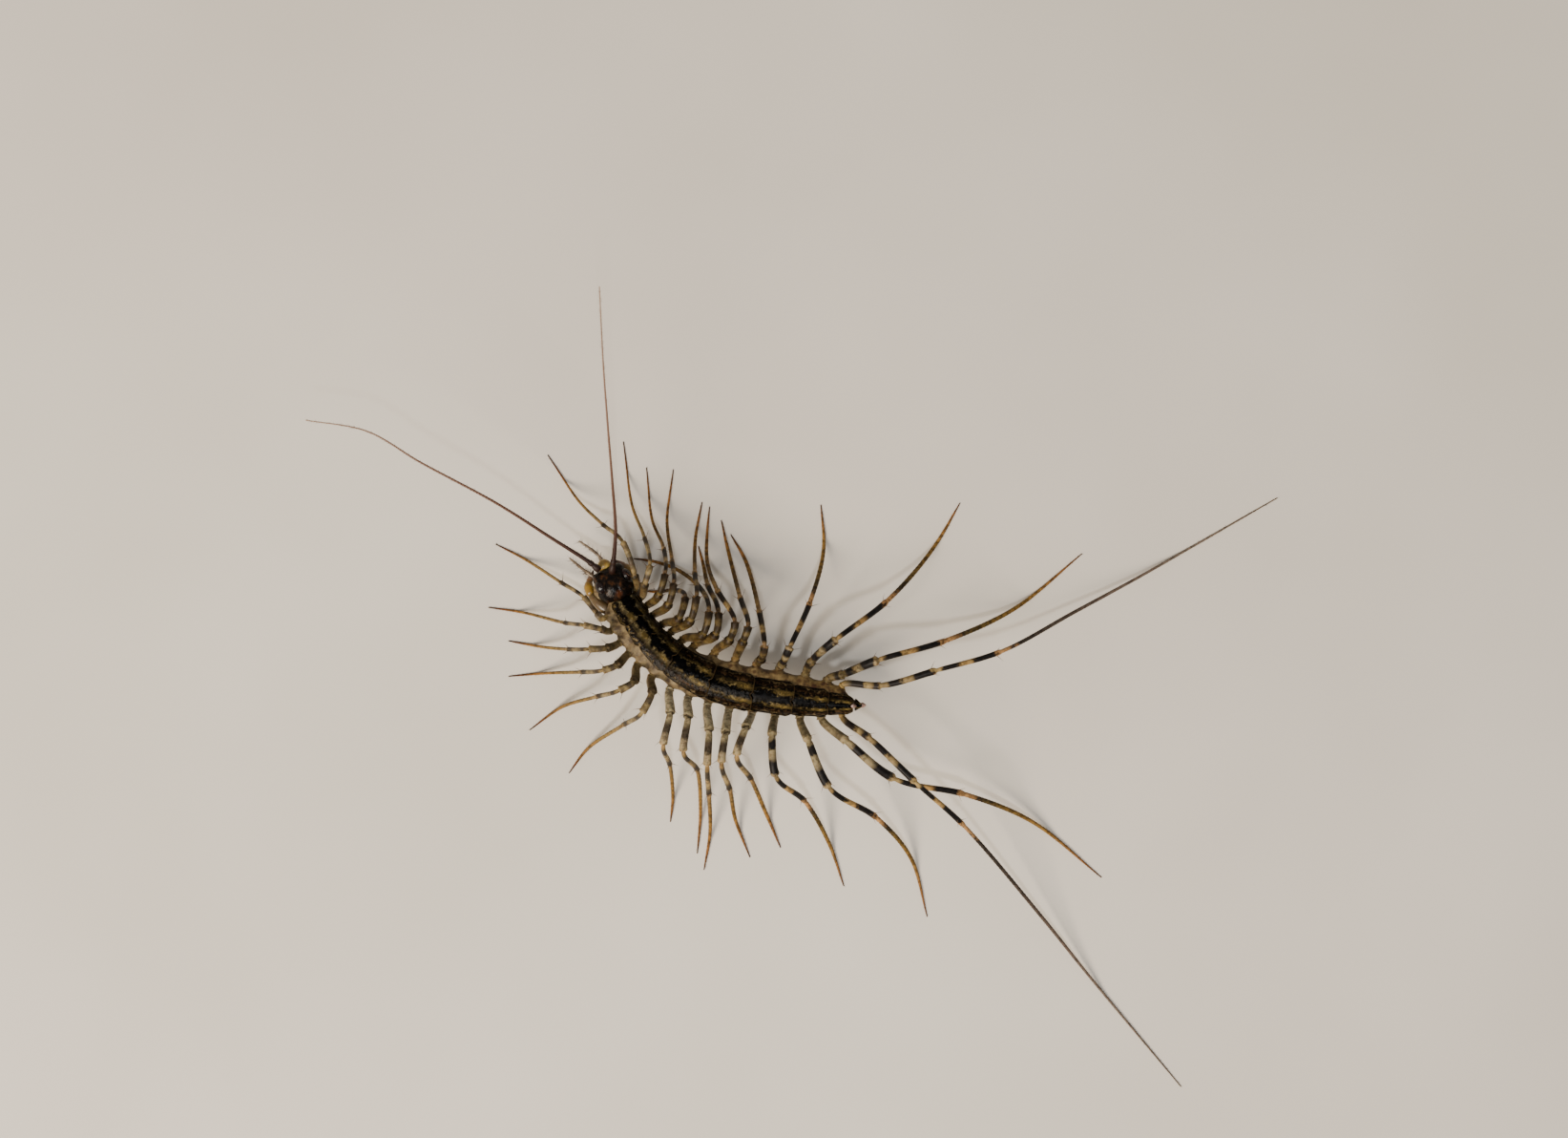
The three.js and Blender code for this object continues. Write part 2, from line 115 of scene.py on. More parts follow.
def close_material(add, finish):
    """The shader of a material, with the finish as its values and links, and its output."""
    add("OutputMaterial", {"Surface": add("BsdfPrincipled", finish)})


def clouded_material(name, patch, detail, stops, finish, relief=None):
    """A material clouded between colours in patches of a size, with a relief (strength, depth) if given."""
    material, add = new_material(name)
    where = add("TexCoord", {}).outputs["Object"]
    cloud = add("TexNoise", {"Vector": where, "Scale": 1 / patch, "Detail": detail})
    finish = {"Base Color": add("ValToRGB", {"Fac": cloud}, stops), **finish}
    if relief:
        strength, depth = relief
        finish["Normal"] = add("Bump", {"Height": cloud, "Strength": strength, "Distance": depth})
    close_material(add, finish)
    return material


# Smooth warm white paint with a faint cloudiness
floor_paint = clouded_material(
    "warm_white_floor_paint", patch=PAINT_CLOUD, detail=3, stops=[(0.3, "#c4bcb0"), (0.7, "#cec7bc")],
    finish={"Roughness": 0.55, "IOR": 1.5})

bpy.ops.object.select_all(action="DESELECT")
bpy.ops.mesh.primitive_plane_add(size=FLOOR_WIDTH)
floor = bpy.context.object
floor.name = "floor"
floor.data.materials.append(floor_paint)


# Studio light
# A soft key lamp to the left and in front, halfway up, for gentle shadows, a small one nearly overhead whose
# glint runs along the hind back plates, and a pale room that fills in the rest.
ROOM_STRENGTH = 0.52


def add_lamp(name, location, width, watts, colour):
    """A square lamp at a place, turned to the middle of the model."""
    bpy.ops.object.light_add(type="AREA", location=location)
    lamp = bpy.context.object
    lamp.name = name
    lamp.data.size = width
    lamp.data.energy = watts
    lamp.data.color = paint(colour)[:3]
    lamp.rotation_euler = (-location).to_track_quat("-Z", "Y").to_euler()


add_lamp("key_lamp", Vector((-230, -230, 330)) * MM, width=210 * MM, watts=3.7, colour="#fff1de")
add_lamp("glint_lamp", Vector((10, -110, 390)) * MM, width=26 * MM, watts=0.5, colour="#ffffff")

room = bpy.data.worlds.new("pale_room")
bpy.context.scene.world = room
room.use_nodes = True
room_light = room.node_tree.nodes["Background"]
room_light.inputs["Color"].default_value = paint("#eeece8")
room_light.inputs["Strength"].default_value = ROOM_STRENGTH


# Trunk skin
# Soft leathery skin of the flanks and belly, buff and finely wrinkled. It bulges at each leg's root and
# folds in between, and the back plates lie on it like roof tiles.

# Sizes are in millimetres from here on, and those written with MM are metres. The middle line is given by
# pixels and heights, and the other lists are of (distance behind the front of the head, value).
BODY_LENGTH = 26
BODY_WIDTH = 2.9
BODY_THICKNESS = 2.3
SKIN_START, SKIN_END = 2.3, 25.6
MIDDLE_LINE = [
    (632, 590, 3.9), (646, 617, 4.0), (659, 642, 4.1), (684, 674, 4.3), (716, 700, 4.4),
    (764, 720, 4.4), (815, 729, 4.4), (862, 735, 4.4), (905, 738, 4.6),
]
ROLL_DEGREES = [
    (0, 6), (2, 10), (4, 27), (5.5, 31), (8.2, 21), (11.4, 13), (13.8, 0), (16.8, -7), (19.7, -11), (26, -11),
]
WIDTH_SHARE = [
    (2.3, 0.7), (2.8, 0.84), (5, 0.9), (8.2, 0.94), (11.4, 1), (17, 0.98), (19.7, 0.92), (22.5, 0.72),
    (24.1, 0.52), (25.2, 0.36), (26, 0.2),
]
THICKNESS_SHARE = [(2.8, 0.8), (6, 0.92), (12, 1), (19, 0.96), (23.5, 0.76), (25, 0.54), (26, 0.34)]
LEG_ROOTS = {
    "left": [4.0, 5.0, 6.1, 7.1, 8.1, 9.4, 10.9, 12.3, 13.8, 15.4, 17.1, 19.0, 21.0, 22.7, 24.3],
    "right": [3.0, 3.9, 4.8, 5.8, 7.0, 8.1, 9.4, 10.7, 12.8, 14.8, 16.9, 18.8, 21.0, 22.9, 24.2],
}
FLANK_SWELL = {
    "left": [(2.8, 0.1), (3.6, 0.5), (5, 0.75), (8, 0.65), (11, 0.3), (14, 0.1), (24, 0.05)],
    "right": [(3, 0.05), (9, 0.15), (12, 0.45), (15, 0.7), (21, 0.8), (23.5, 0.75), (25, 0.3), (26, 0.1)],
}
SWELL_LEVEL = -0.3
SWELL_BETWEEN, SWELL_AT_ROOT, SWELL_REACH = 0.85, 0.2, 0.4
ROOT_BULGE, ROOT_REACH = 0.18, 0.42
ROOT_LEVEL = (-0.15, 0.5)
BELLY_PLATE, BELLY_PLATE_REACH, BELLY_PLATE_LEVEL = 0.05, 0.5, -0.6
FOLD_HEIGHT, FOLDS_ALONG, FOLDS_AROUND = 0.03, 2.2, 2
FRONT_ROUNDING, HIND_ROUNDING = 16, 14
BELLY_SHARE, BACK_SHARE = 0.85, 0.94


def listed(steps, spot):
    """The value at a spot on a list of (spot, value), in even slopes between its entries."""
    if spot <= steps[0][0]:
        return steps[0][1]
    for (low, first), (high, second) in zip(steps, steps[1:]):
        if spot <= high:
            return first + (second - first) * (spot - low) / (high - low)
    return steps[-1][1]


def along_curve(points, at):
    """A point of the smooth curve through the points; at counts them, so 1.5 is halfway past the second."""
    i = min(int(at), len(points) - 2)
    share = at - i
    start, end = points[i], points[i + 1]
    before = points[i - 1] if i > 0 else 2 * start - end
    after = points[i + 2] if i + 2 < len(points) else 2 * end - start
    spans = ((before, start), (start, end), (end, after))
    first, middle, last = [math.sqrt((b - a).length) for a, b in spans]
    leave = ((start - before) / first - (end - before) / (first + middle) + (end - start) / middle) * middle
    reach = ((end - start) / middle - (after - start) / (middle + last) + (after - end) / last) * middle
    bow = 3 * (end - start) - 2 * leave - reach
    turn = 2 * (start - end) + leave + reach
    return start + leave * share + bow * share ** 2 + turn * share ** 3


LINE_STEPS = 400
line_points = [place(*spot) for spot in MIDDLE_LINE]
line_spans = len(MIDDLE_LINE) - 1
middle_line = [along_curve(line_points, i * line_spans / LINE_STEPS) for i in range(LINE_STEPS + 1)]
line_run = [0.0]
for one, two in zip(middle_line, middle_line[1:]):
    line_run.append(line_run[-1] + (two - one).length)


def line_spot(distance):
    """The point of the back's middle line at a distance behind the front of the head."""
    run = max(0.0, min(1.0, distance / BODY_LENGTH)) * line_run[-1]
    i = min(sum(1 for r in line_run[1:-1] if r <= run), LINE_STEPS - 1)
    share = (run - line_run[i]) / (line_run[i + 1] - line_run[i])
    return middle_line[i].lerp(middle_line[i + 1], share)


def body_frame(distance):
    """Where the body is at a distance behind the front of the head, and which way is ahead, left and up."""
    ahead = (line_spot(distance - 0.1) - line_spot(distance + 0.1)).normalized()
    left = Vector((0, 0, 1)).cross(ahead).normalized()
    roll = Quaternion(ahead, math.radians(listed(ROLL_DEGREES, distance)))
    return line_spot(distance), ahead, roll @ left, roll @ ahead.cross(left)


FRAME_STEP = 0.05
frames = [body_frame(i * FRAME_STEP) for i in range(int(BODY_LENGTH / FRAME_STEP) + 1)]


def on_body(distance, ahead, aside, above):
    """A place off the body's middle line as a point in metres, read off the frames worked out beforehand."""
    step = max(0, min(len(frames) - 1, round(distance / FRAME_STEP)))
    centre, front, left, up = frames[step]
    ahead += step * FRAME_STEP - distance
    return centre + (front * ahead + left * aside + up * above) * MM


def half_width_at(distance):
    return listed(WIDTH_SHARE, distance) * BODY_WIDTH / 2


def half_thickness_at(distance):
    return listed(THICKNESS_SHARE, distance) * BODY_THICKNESS / 2


def hump(spot, middle, reach):
    """A smooth bump of height 1 around a middle, gone beyond about twice its reach."""
    return math.exp(-((spot - middle) / reach) ** 2)


def select_only(piece):
    bpy.ops.object.select_all(action="DESELECT")
    piece.select_set(True)
    bpy.context.view_layer.objects.active = piece


def turn_faces_out():
    """Points the faces of the active closed piece outwards."""
    bpy.ops.object.mode_set(mode="EDIT")
    bpy.ops.mesh.select_all(action="SELECT")
    bpy.ops.mesh.normals_make_consistent(inside=False)
    bpy.ops.object.mode_set(mode="OBJECT")


def rolled_grid(name, material, across_steps, along_steps, shape):
    """A grid of one material whose corners go where shape(across, share) says, its seam and poles closed."""
    bpy.ops.object.select_all(action="DESELECT")
    bpy.ops.mesh.primitive_grid_add(x_subdivisions=across_steps, y_subdivisions=along_steps, size=1)
    piece = bpy.context.object
    piece.name = name
    piece.data.materials.append(material)
    for corner in piece.data.vertices:
        corner.co = shape(corner.co.x + 0.5, corner.co.y + 0.5)
    bpy.ops.object.mode_set(mode="EDIT")
    bpy.ops.mesh.select_all(action="SELECT")
    bpy.ops.mesh.remove_doubles(threshold=0.0005 * MM)
    bpy.ops.object.mode_set(mode="OBJECT")
    turn_faces_out()
    return piece


def fit(piece, slot, *nodes):
    """Shades a finished piece, gives it its body and hides the nodes that it stands for; its slot is not
    used.
    """
    select_only(piece)
    bpy.ops.object.shade_smooth()
    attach(piece, "root")
    if nodes:
        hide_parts(*nodes)


def skin_shape(across, share):
    """Where a corner of the skin goes: across runs once around the trunk, share runs backwards."""
    distance = SKIN_START + (SKIN_END - SKIN_START) * share
    aside, above = math.sin(math.tau * across), math.cos(math.tau * across)
    ends = min(1, FRONT_ROUNDING * share, HIND_ROUNDING * (1 - share)) ** 0.5 if 0 < share < 1 else 0
    name = "left" if aside > 0 else "right"
    near = min(abs(distance - root) for root in LEG_ROOTS[name])
    swell = listed(FLANK_SWELL[name], distance) * max(0, 1 - (above - SWELL_LEVEL) ** 2)
    root = ROOT_BULGE * hump(above, *ROOT_LEVEL) * hump(near, 0, ROOT_REACH)
    bulge = swell * (SWELL_BETWEEN + SWELL_AT_ROOT * hump(near, 0, SWELL_REACH)) + root
    belly_plate = BELLY_PLATE * hump(near, 0, BELLY_PLATE_REACH) * max(0, BELLY_PLATE_LEVEL - above)
    folds = Vector((distance * FOLDS_ALONG, aside * FOLDS_AROUND, above * FOLDS_AROUND))
    fold = FOLD_HEIGHT * noise.noise(folds)
    half_width = half_width_at(distance) + bulge + fold
    half_thickness = half_thickness_at(distance) * (BELLY_SHARE if above < 0 else BACK_SHARE)
    return on_body(
        distance, 0, aside * half_width * ends, above * (half_thickness + fold + belly_plate) * ends)


# Living flank skin: buff with brown blood showing through, browner towards the tail, with tiny brown
# specks and a satin finish
SKIN_BLOTCH = MM / 1.6
WRINKLE = 0.22 * MM
SPECK = 0.4 * MM
BROWN_START, BROWN_END = -9, 1
flank_skin, add = new_material("buff_flank_skin")
where = add("TexCoord", {}).outputs["Object"]
blotch = add("TexNoise", {"Vector": where, "Scale": 1 / SKIN_BLOTCH, "Detail": 6, "Roughness": 0.65})
pale = add("ValToRGB", {"Fac": blotch}, [(0.38, "#3b2c19"), (0.5, "#66553a"), (0.63, "#84714e")])
brown = add("ValToRGB", {"Fac": blotch}, [(0.4, "#2c1a0c"), (0.5, "#4b3a1f"), (0.63, "#665433")])
tailwards = add("SeparateXYZ", {"Vector": where}).outputs["X"]
behind = add("MapRange", {"Value": tailwards, "From Min": BROWN_START * MM, "From Max": BROWN_END * MM})
buff = add("MixRGB", {"Fac": behind, "Color1": pale, "Color2": brown})
speck = add("TexVoronoi", {"Vector": where, "Scale": 0.5 / SPECK})
dotted = add("ValToRGB", {"Fac": speck}, [(0.12, 0.8), (0.3, 0.0)])
skin_colour = add("MixRGB", {"Fac": dotted, "Color1": buff, "Color2": paint("#3a2415")})
crease = add("TexNoise", {"Vector": where, "Scale": 1 / WRINKLE, "Detail": 6})
relief = add("Bump", {"Height": crease, "Strength": 0.5, "Distance": 0.05 * MM})
close_material(add, {
    "Base Color": skin_colour, "Roughness": 0.5, "IOR": 1.4, "Specular IOR Level": 0.3,
    "Subsurface Weight": 0.05, "Subsurface Scale": 0.5 * MM, "Normal": relief})

skin = rolled_grid("trunk_skin", flank_skin, 56, 280, skin_shape)
fit(skin, "flesh", *[f"trunk_{i}" for i in range(1, 9)], "telson")


# Back plates
# Eight waxy saddle-shaped plates of hard cuticle, the fourth the longest. Each overlaps the next, and
# its hind edge is notched in the middle around the breathing slit. They grow fast to the skin below.
PLATE_STARTS = [3.3, 5.2, 7.1, 9.6, 13.2, 16.7, 20.0, 22.9, 24.9]
PLATE_SWEEP_DEGREES = 66
FRONT_SWEEP, SWEEP_GAIN = 0.93, 0.07
PLATE_THICKNESS = 0.09
PLATE_LIFT = (0.05, 0.19)
PLATE_OVERHANG = 0.17
PLATE_LAP = 0.3
CORNER_START = 0.7
HIND_CORNER_CUT, FRONT_CORNER_CUT, CORNER_RISE = 0.5, 0.45, 0.07
RIM_START, RIM_HEIGHT = 0.88, 0.05
KEEL_HEIGHT, KEEL_WIDTH, KEEL_RUN_UP = 0.03, 0.14, 5
FURROW_PLACE, FURROW_WIDTH, FURROW_DEPTH = 0.46, 0.1, 0.035
SLIT_START, SLIT_WIDTH, SLIT_DEPTH = 0.72, 0.035, 0.08
RIPPLE_HEIGHT, RIPPLES_ALONG, RIPPLES_ACROSS = 0.012, 5, 3
BREATHING_NOTCH, NOTCH_WIDTH = 0.22, 0.1
FRONT_TUCK, TUCK_RUN_OUT = 0.12, 8


def plate_shape(start, end):
    """The shape of one plate: across runs over the back from right to left, share runs backwards."""
    def shape(across, share):
        side = 2 * across - 1
        corner = max(0, abs(side) - CORNER_START) / (1 - CORNER_START)
        notch = BREATHING_NOTCH * hump(side, 0, NOTCH_WIDTH)
        hind = end + PLATE_LAP - HIND_CORNER_CUT * corner ** 2.5 - notch
        front = start + FRONT_CORNER_CUT * corner ** 3
        distance = front + (hind - front) * share
        sweep = math.radians(PLATE_SWEEP_DEGREES) * side * (FRONT_SWEEP + SWEEP_GAIN * share)
        rim = RIM_HEIGHT * max(0, abs(side) - RIM_START) / (1 - RIM_START) + CORNER_RISE * corner * share ** 4
        keel = KEEL_HEIGHT * hump(side, 0, KEEL_WIDTH)
        keel -= FURROW_DEPTH * hump(abs(side), FURROW_PLACE, FURROW_WIDTH)
        slit = SLIT_DEPTH * hump(side, 0, SLIT_WIDTH) * max(0, (share - SLIT_START) / (1 - SLIT_START))
        ripples = Vector((distance * RIPPLES_ALONG, side * RIPPLES_ACROSS, start))
        ripple = RIPPLE_HEIGHT * noise.noise(ripples)
        lift = PLATE_LIFT[0] + (PLATE_LIFT[1] - PLATE_LIFT[0]) * share ** 1.5
        lift += rim + keel * min(1, KEEL_RUN_UP * share) - slit + ripple
        lift -= FRONT_TUCK * max(0, 1 - TUCK_RUN_OUT * share)
        half_width = half_width_at(distance) + PLATE_OVERHANG + rim
        half_thickness = half_thickness_at(distance) + lift
        return on_body(distance, 0, math.sin(sweep) * half_width, math.cos(sweep) * half_thickness)
    return shape


# Waxed arthropod cuticle. Wax gives it a soft gloss, broken by pits that are drawn coarser than the real
# ones so that they show. Ragged bands flecked with black run along the back: black in the middle, olive to
# ochre beside it, red-brown flanks, a thin horn-coloured line and a black edge. On the hind plates the ochre
# is dark at the front and ends in a golden spot, and on the front plates the olive is broader.
STRIPE_CLOUD = MM / 1.4
MOTTLE = MM / 2.6
PIT = 0.35 * MM
STRIPE_WANDER = 0.24
STRIPE_RAG = 0.44
DUSK_RAG = 1.6
FORE_START, FORE_END = -14.5, -9.5
GOLD_ASIDE, GOLD_ALONG = 0.165, 0.78
GOLD_SQUASH = 0.34
plate_cuticle, add = new_material("waxed_banded_cuticle")
where = add("TexCoord", {}).outputs["Object"]
wander = add("TexNoise", {"Vector": where, "Scale": 1 / STRIPE_CLOUD, "Detail": 2})
mottle = add("TexNoise", {"Vector": where, "Scale": 1 / MOTTLE, "Detail": 5, "Roughness": 0.7})
across, along, _ = add("SeparateXYZ", {"Vector": add("UVMap", {}, uv_map="UVMap")}).outputs
shifted = add("Math", {0: across, 1: 0.5}, operation="SUBTRACT")
off_middle = add("Math", {0: shifted}, operation="ABSOLUTE")
loose = add("Math", {0: wander, 1: STRIPE_WANDER, 2: -STRIPE_WANDER / 2}, operation="MULTIPLY_ADD")
ragged = add("Math", {0: mottle, 1: STRIPE_RAG, 2: -STRIPE_RAG / 2}, operation="MULTIPLY_ADD")
waver = add("Math", {0: loose, 1: ragged}, operation="ADD")
band = add("Math", {0: off_middle, 1: waver}, operation="ADD")
hind_stripes = add("ValToRGB", {"Fac": band}, [
    (0.0, "#060404"), (0.11, "#080605"), (0.13, "#4e432b"), (0.17, "#6a5d3c"), (0.21, "#594c2e"),
    (0.235, 0.275, "#120d09"), (0.31, "#43321f"), (0.36, "#3f2d1c"), (0.39, "#0f0b08"),
    (0.43, 0.455, "#62533a"), (0.475, "#0c0a08"), (0.5, "#14100c")])
fore_stripes = add("ValToRGB", {"Fac": band}, [
    (0.0, "#060404"), (0.125, "#080605"), (0.15, "#564c34"), (0.19, "#746a4e"), (0.27, "#62573d"),
    (0.3, "#0f0c0a"), (0.4, "#17120d"), (0.44, 0.46, "#6c5b38"), (0.48, "#120e0b")])
dusk_at = add("Math", {0: ragged, 1: DUSK_RAG, 2: along}, operation="MULTIPLY_ADD")
dusk = add("ValToRGB", {"Fac": dusk_at}, [(0.2, "#655c4e"), (0.6, 0.86, "#ffffff"), (0.99, "#756c5e")])
dusky = add("MixRGB", {"Fac": 0.8, "Color1": hind_stripes, "Color2": dusk}, blend_type="MULTIPLY")
tailwards = add("SeparateXYZ", {"Vector": where}).outputs["X"]
fore = add("MapRange", {"Value": tailwards, "From Min": FORE_END * MM, "From Max": FORE_START * MM})
stripes = add("MixRGB", {"Fac": fore, "Color1": dusky, "Color2": fore_stripes})
gold_x = add("Math", {0: off_middle, 1: GOLD_ASIDE}, operation="SUBTRACT")
gold_y = add("Math", {0: along, 1: GOLD_SQUASH, 2: -GOLD_SQUASH * GOLD_ALONG}, operation="MULTIPLY_ADD")
gold_at = add("CombineXYZ", {"X": gold_x, "Y": gold_y})
gold_far = add("VectorMath", {0: gold_at}, operation="LENGTH").outputs["Value"]
gold_edge = add("Math", {0: gold_far, 1: ragged}, operation="ADD")
gold = add("ValToRGB", {"Fac": gold_edge}, [(0.03, 0.8), (0.07, 0.0)])
spotted = add("MixRGB", {"Fac": gold, "Color1": stripes, "Color2": paint("#98824a")})
fleck = add("ValToRGB", {"Fac": mottle}, [(0.465, "#1c1610"), (0.53, "#a59d8a"), (0.6, "#ffffff")])
flecked = add("MixRGB", {"Fac": 0.85, "Color1": spotted, "Color2": fleck}, blend_type="MULTIPLY")
hem = add("ValToRGB", {"Fac": along}, [(0.965, 0.0), (0.99, 0.6)])
hemmed = add("MixRGB", {"Fac": hem, "Color1": flecked, "Color2": paint("#41331f")})
gloss = add("MapRange", {"Value": mottle, "From Min": 0.35, "From Max": 0.65, "To Min": 0.08, "To Max": 0.26})
pits = add("TexNoise", {"Vector": where, "Scale": 1 / PIT, "Detail": 3, "Roughness": 0.7})
relief = add("Bump", {"Height": pits, "Strength": 0.8, "Distance": 0.09 * MM})
close_material(add, {
    "Base Color": hemmed, "Roughness": gloss, "IOR": 1.5, "Specular IOR Level": 0.055, "Normal": relief})


def face_up(piece):
    """Turns an open sheet so that its faces look up before it gets its wall."""
    if sum(face.normal.z * face.area for face in piece.data.polygons) < 0:
        select_only(piece)
        bpy.ops.object.mode_set(mode="EDIT")
        bpy.ops.mesh.select_all(action="SELECT")
        bpy.ops.mesh.flip_normals()
        bpy.ops.object.mode_set(mode="OBJECT")


def harden(piece, thickness):
    """Gives a modelled sheet its wall, rounds its edges, and applies both."""
    face_up(piece)
    select_only(piece)
    wall = piece.modifiers.new("wall", "SOLIDIFY")
    wall.thickness = thickness * MM
    wall.offset = -1
    soft = piece.modifiers.new("soft", "SUBSURF")
    soft.levels = soft.render_levels = 1
    for modifier in ("wall", "soft"):
        bpy.ops.object.modifier_apply(modifier=modifier)


for number, (start, end) in enumerate(zip(PLATE_STARTS, PLATE_STARTS[1:]), 1):
    plate = rolled_grid(f"back_plate_{number}", plate_cuticle, 44, 26, plate_shape(start, end))
    harden(plate, PLATE_THICKNESS)
    fit(plate, "back_plate", f"trunk_{number}")


# Tail shield and tail lobes
# The last body ring has a small dark shield of the plates' cuticle. A soft pinkish lobe swells up in front
# of it and another sticks out under its tip, both grown onto the skin.
SHIELD_START, SHIELD_END = 25.3, 25.9
SHIELD_SWEEP_DEGREES = 70
SHIELD_ROUNDING = 0.35
SHIELD_TAPER = 0.3
SHIELD_OVERHANG, SHIELD_LIFT = 0.07, 0.08
LOBE_PLACES = {"upper": (25.15, 0.62), "hind": (25.9, 0.2)}
LOBE_SIZE = (0.32, 0.22, 0.24)
LOBE_FOLD, LOBE_FOLD_WIDTH = 0.14, 0.3
LOBE_TAPER = 0.35
THIN_CLOUD = MM / 2.2


def shield_shape(across, share):
    """Where a corner of the tail shield goes, as on a plate."""
    side = 2 * across - 1
    distance = SHIELD_START + (SHIELD_END - SHIELD_START - SHIELD_ROUNDING * side ** 2) * share
    sweep = math.radians(SHIELD_SWEEP_DEGREES) * side
    half_width = (half_width_at(distance) + SHIELD_OVERHANG) * (1 - SHIELD_TAPER * share ** 3)
    half_thickness = half_thickness_at(distance) + SHIELD_LIFT
    return on_body(distance, 0, math.sin(sweep) * half_width, math.cos(sweep) * half_thickness)


shield = rolled_grid("tail_shield", plate_cuticle, 24, 16, shield_shape)
harden(shield, PLATE_THICKNESS)
fit(shield, "back_plate", "telson")


def egg_piece(name, material, steps, shape):
    """A closed round piece: a ball whose points (ahead, aside, above), from -1 to 1, go where shape says."""
    def rolled(across, share):
        turn = math.tau * across
        ahead = math.cos(math.pi * share)
        around = math.sin(math.pi * share) if 0 < share < 1 else 0
        return shape(ahead, math.sin(turn) * around, math.cos(turn) * around)
    return rolled_grid(name, material, 2 * steps, steps, rolled)


def thin_cuticle(name, colours):
    """Thin cuticle, clouded from dark to pale, moist, smooth and a little translucent."""
    return clouded_material(
        name, patch=THIN_CLOUD, detail=3, stops=zip((0.35, 0.52, 0.7), colours), relief=(0.3, 0.03 * MM),
        finish={"Roughness": 0.3, "IOR": 1.5, "Subsurface Weight": 0.2, "Subsurface Scale": 0.3 * MM})


# Soft pinkish membrane of the tail lobes
lobe_membrane = thin_cuticle("pinkish_lobe_membrane", ["#4e3a30", "#7c6258", "#a08478"])


def lobe_shape(distance, height):
    """The shape of one lobe, folded along its middle and slimmer at both ends."""
    def shape(ahead, aside, above):
        fold = 1 - LOBE_FOLD * hump(aside, 0, LOBE_FOLD_WIDTH) * (1 - ahead ** 2)
        slim = 1 - LOBE_TAPER * abs(ahead)
        return on_body(distance, ahead * LOBE_SIZE[0], aside * LOBE_SIZE[1] * slim,
                       height + above * LOBE_SIZE[2] * fold * slim)
    return shape


for name, spot in LOBE_PLACES.items():
    fit(egg_piece(f"tail_lobe_{name}", lobe_membrane, 12, lobe_shape(*spot)), "flesh")


# Head capsule
# A domed hard shell, black-brown with rust mottling, a shallow forked seam on its crown and hollows for the
# eyes. In front, between the feelers, sits a golden lip, and the tan base of the jaws shows under the sides.
HEAD_LENGTH, HEAD_WIDTH, HEAD_HEIGHT = 3.3, 3.1, 2.3
HEAD_SET_BACK = 0.45
HEAD_MIDDLE = HEAD_LENGTH / 2 + HEAD_SET_BACK
HEAD_TAPER, BROW_DROP = 0.16, 0.18
EYE_LENGTH, EYE_WIDTH, EYE_HEIGHT = 1.15, 0.85, 1.1
EYE_PLACE = (0.4, 1.14, 0.32)
EYE_HOLLOW, EYE_HOLLOW_RING = 0.09, (0.62, 0.14)
FORK_AHEAD, FORK_SPREAD = -0.1, 0.75
FORK_DEPTH, FORK_WIDTH = 0.05, 0.07
NECK_SEAM_DEPTH, NECK_SEAM_PLACE = 0.03, (-1.2, 0.1)
CROWN_SWELL, CROWN_ALONG, CROWN_ASIDE = 0.07, (0.1, 0.5), (0.45, 0.35)
CHEEK_RIM, CHEEK_LEVEL = 0.06, (-0.12, 0.1)
FEELER_SOCKET = (1.2, 0.95)
FEELER_BULGE, FEELER_BULGE_REACH = 0.24, 0.5
CROWN_SPOT = (-0.75, 0.1, 1.0)
CROWN_SPOT_REACH = (0.1, 0.38)
LIP_PLACE, LIP_SIZE, LIP_TAPER = (1.95, -0.1), (0.5, 0.58, 0.42), 0.2
JAW_PLACE, JAW_SIZE, JAW_TAPER = (0, -0.75), (1.6, 1.78, 0.45), 0.1


def head_shape(ahead, aside, above):
    """Where a point of a ball goes on the head capsule."""
    taper = 1 - HEAD_TAPER * ahead ** 2
    low_front = 1 - BROW_DROP * ahead ** 2 if ahead > 0 else 1
    long = ahead * HEAD_LENGTH / 2
    wide = aside * HEAD_WIDTH / 2 * taper
    tall = above * HEAD_HEIGHT / 2 * low_front
    bulge = 1 + FEELER_BULGE * hump(math.dist((long, abs(wide)), FEELER_SOCKET), 0, FEELER_BULGE_REACH)
    long, wide = long * bulge, wide * bulge
    if above > 0:
        fork = abs(wide) - max(0, long - FORK_AHEAD) * FORK_SPREAD
        tall -= FORK_DEPTH * hump(fork, 0, FORK_WIDTH) + NECK_SEAM_DEPTH * hump(long, *NECK_SEAM_PLACE)
        tall += CROWN_SWELL * hump(long, *CROWN_ALONG) * hump(abs(wide), *CROWN_ASIDE)
    rim = CHEEK_RIM * hump(above, *CHEEK_LEVEL) * abs(aside)
    away = math.dist((long, abs(wide), tall), EYE_PLACE)
    socket = 1 - EYE_HOLLOW * hump(away, *EYE_HOLLOW_RING)
    return on_body(HEAD_MIDDLE, long, (wide + rim * (1 if wide > 0 else -1)) * socket, tall * socket)


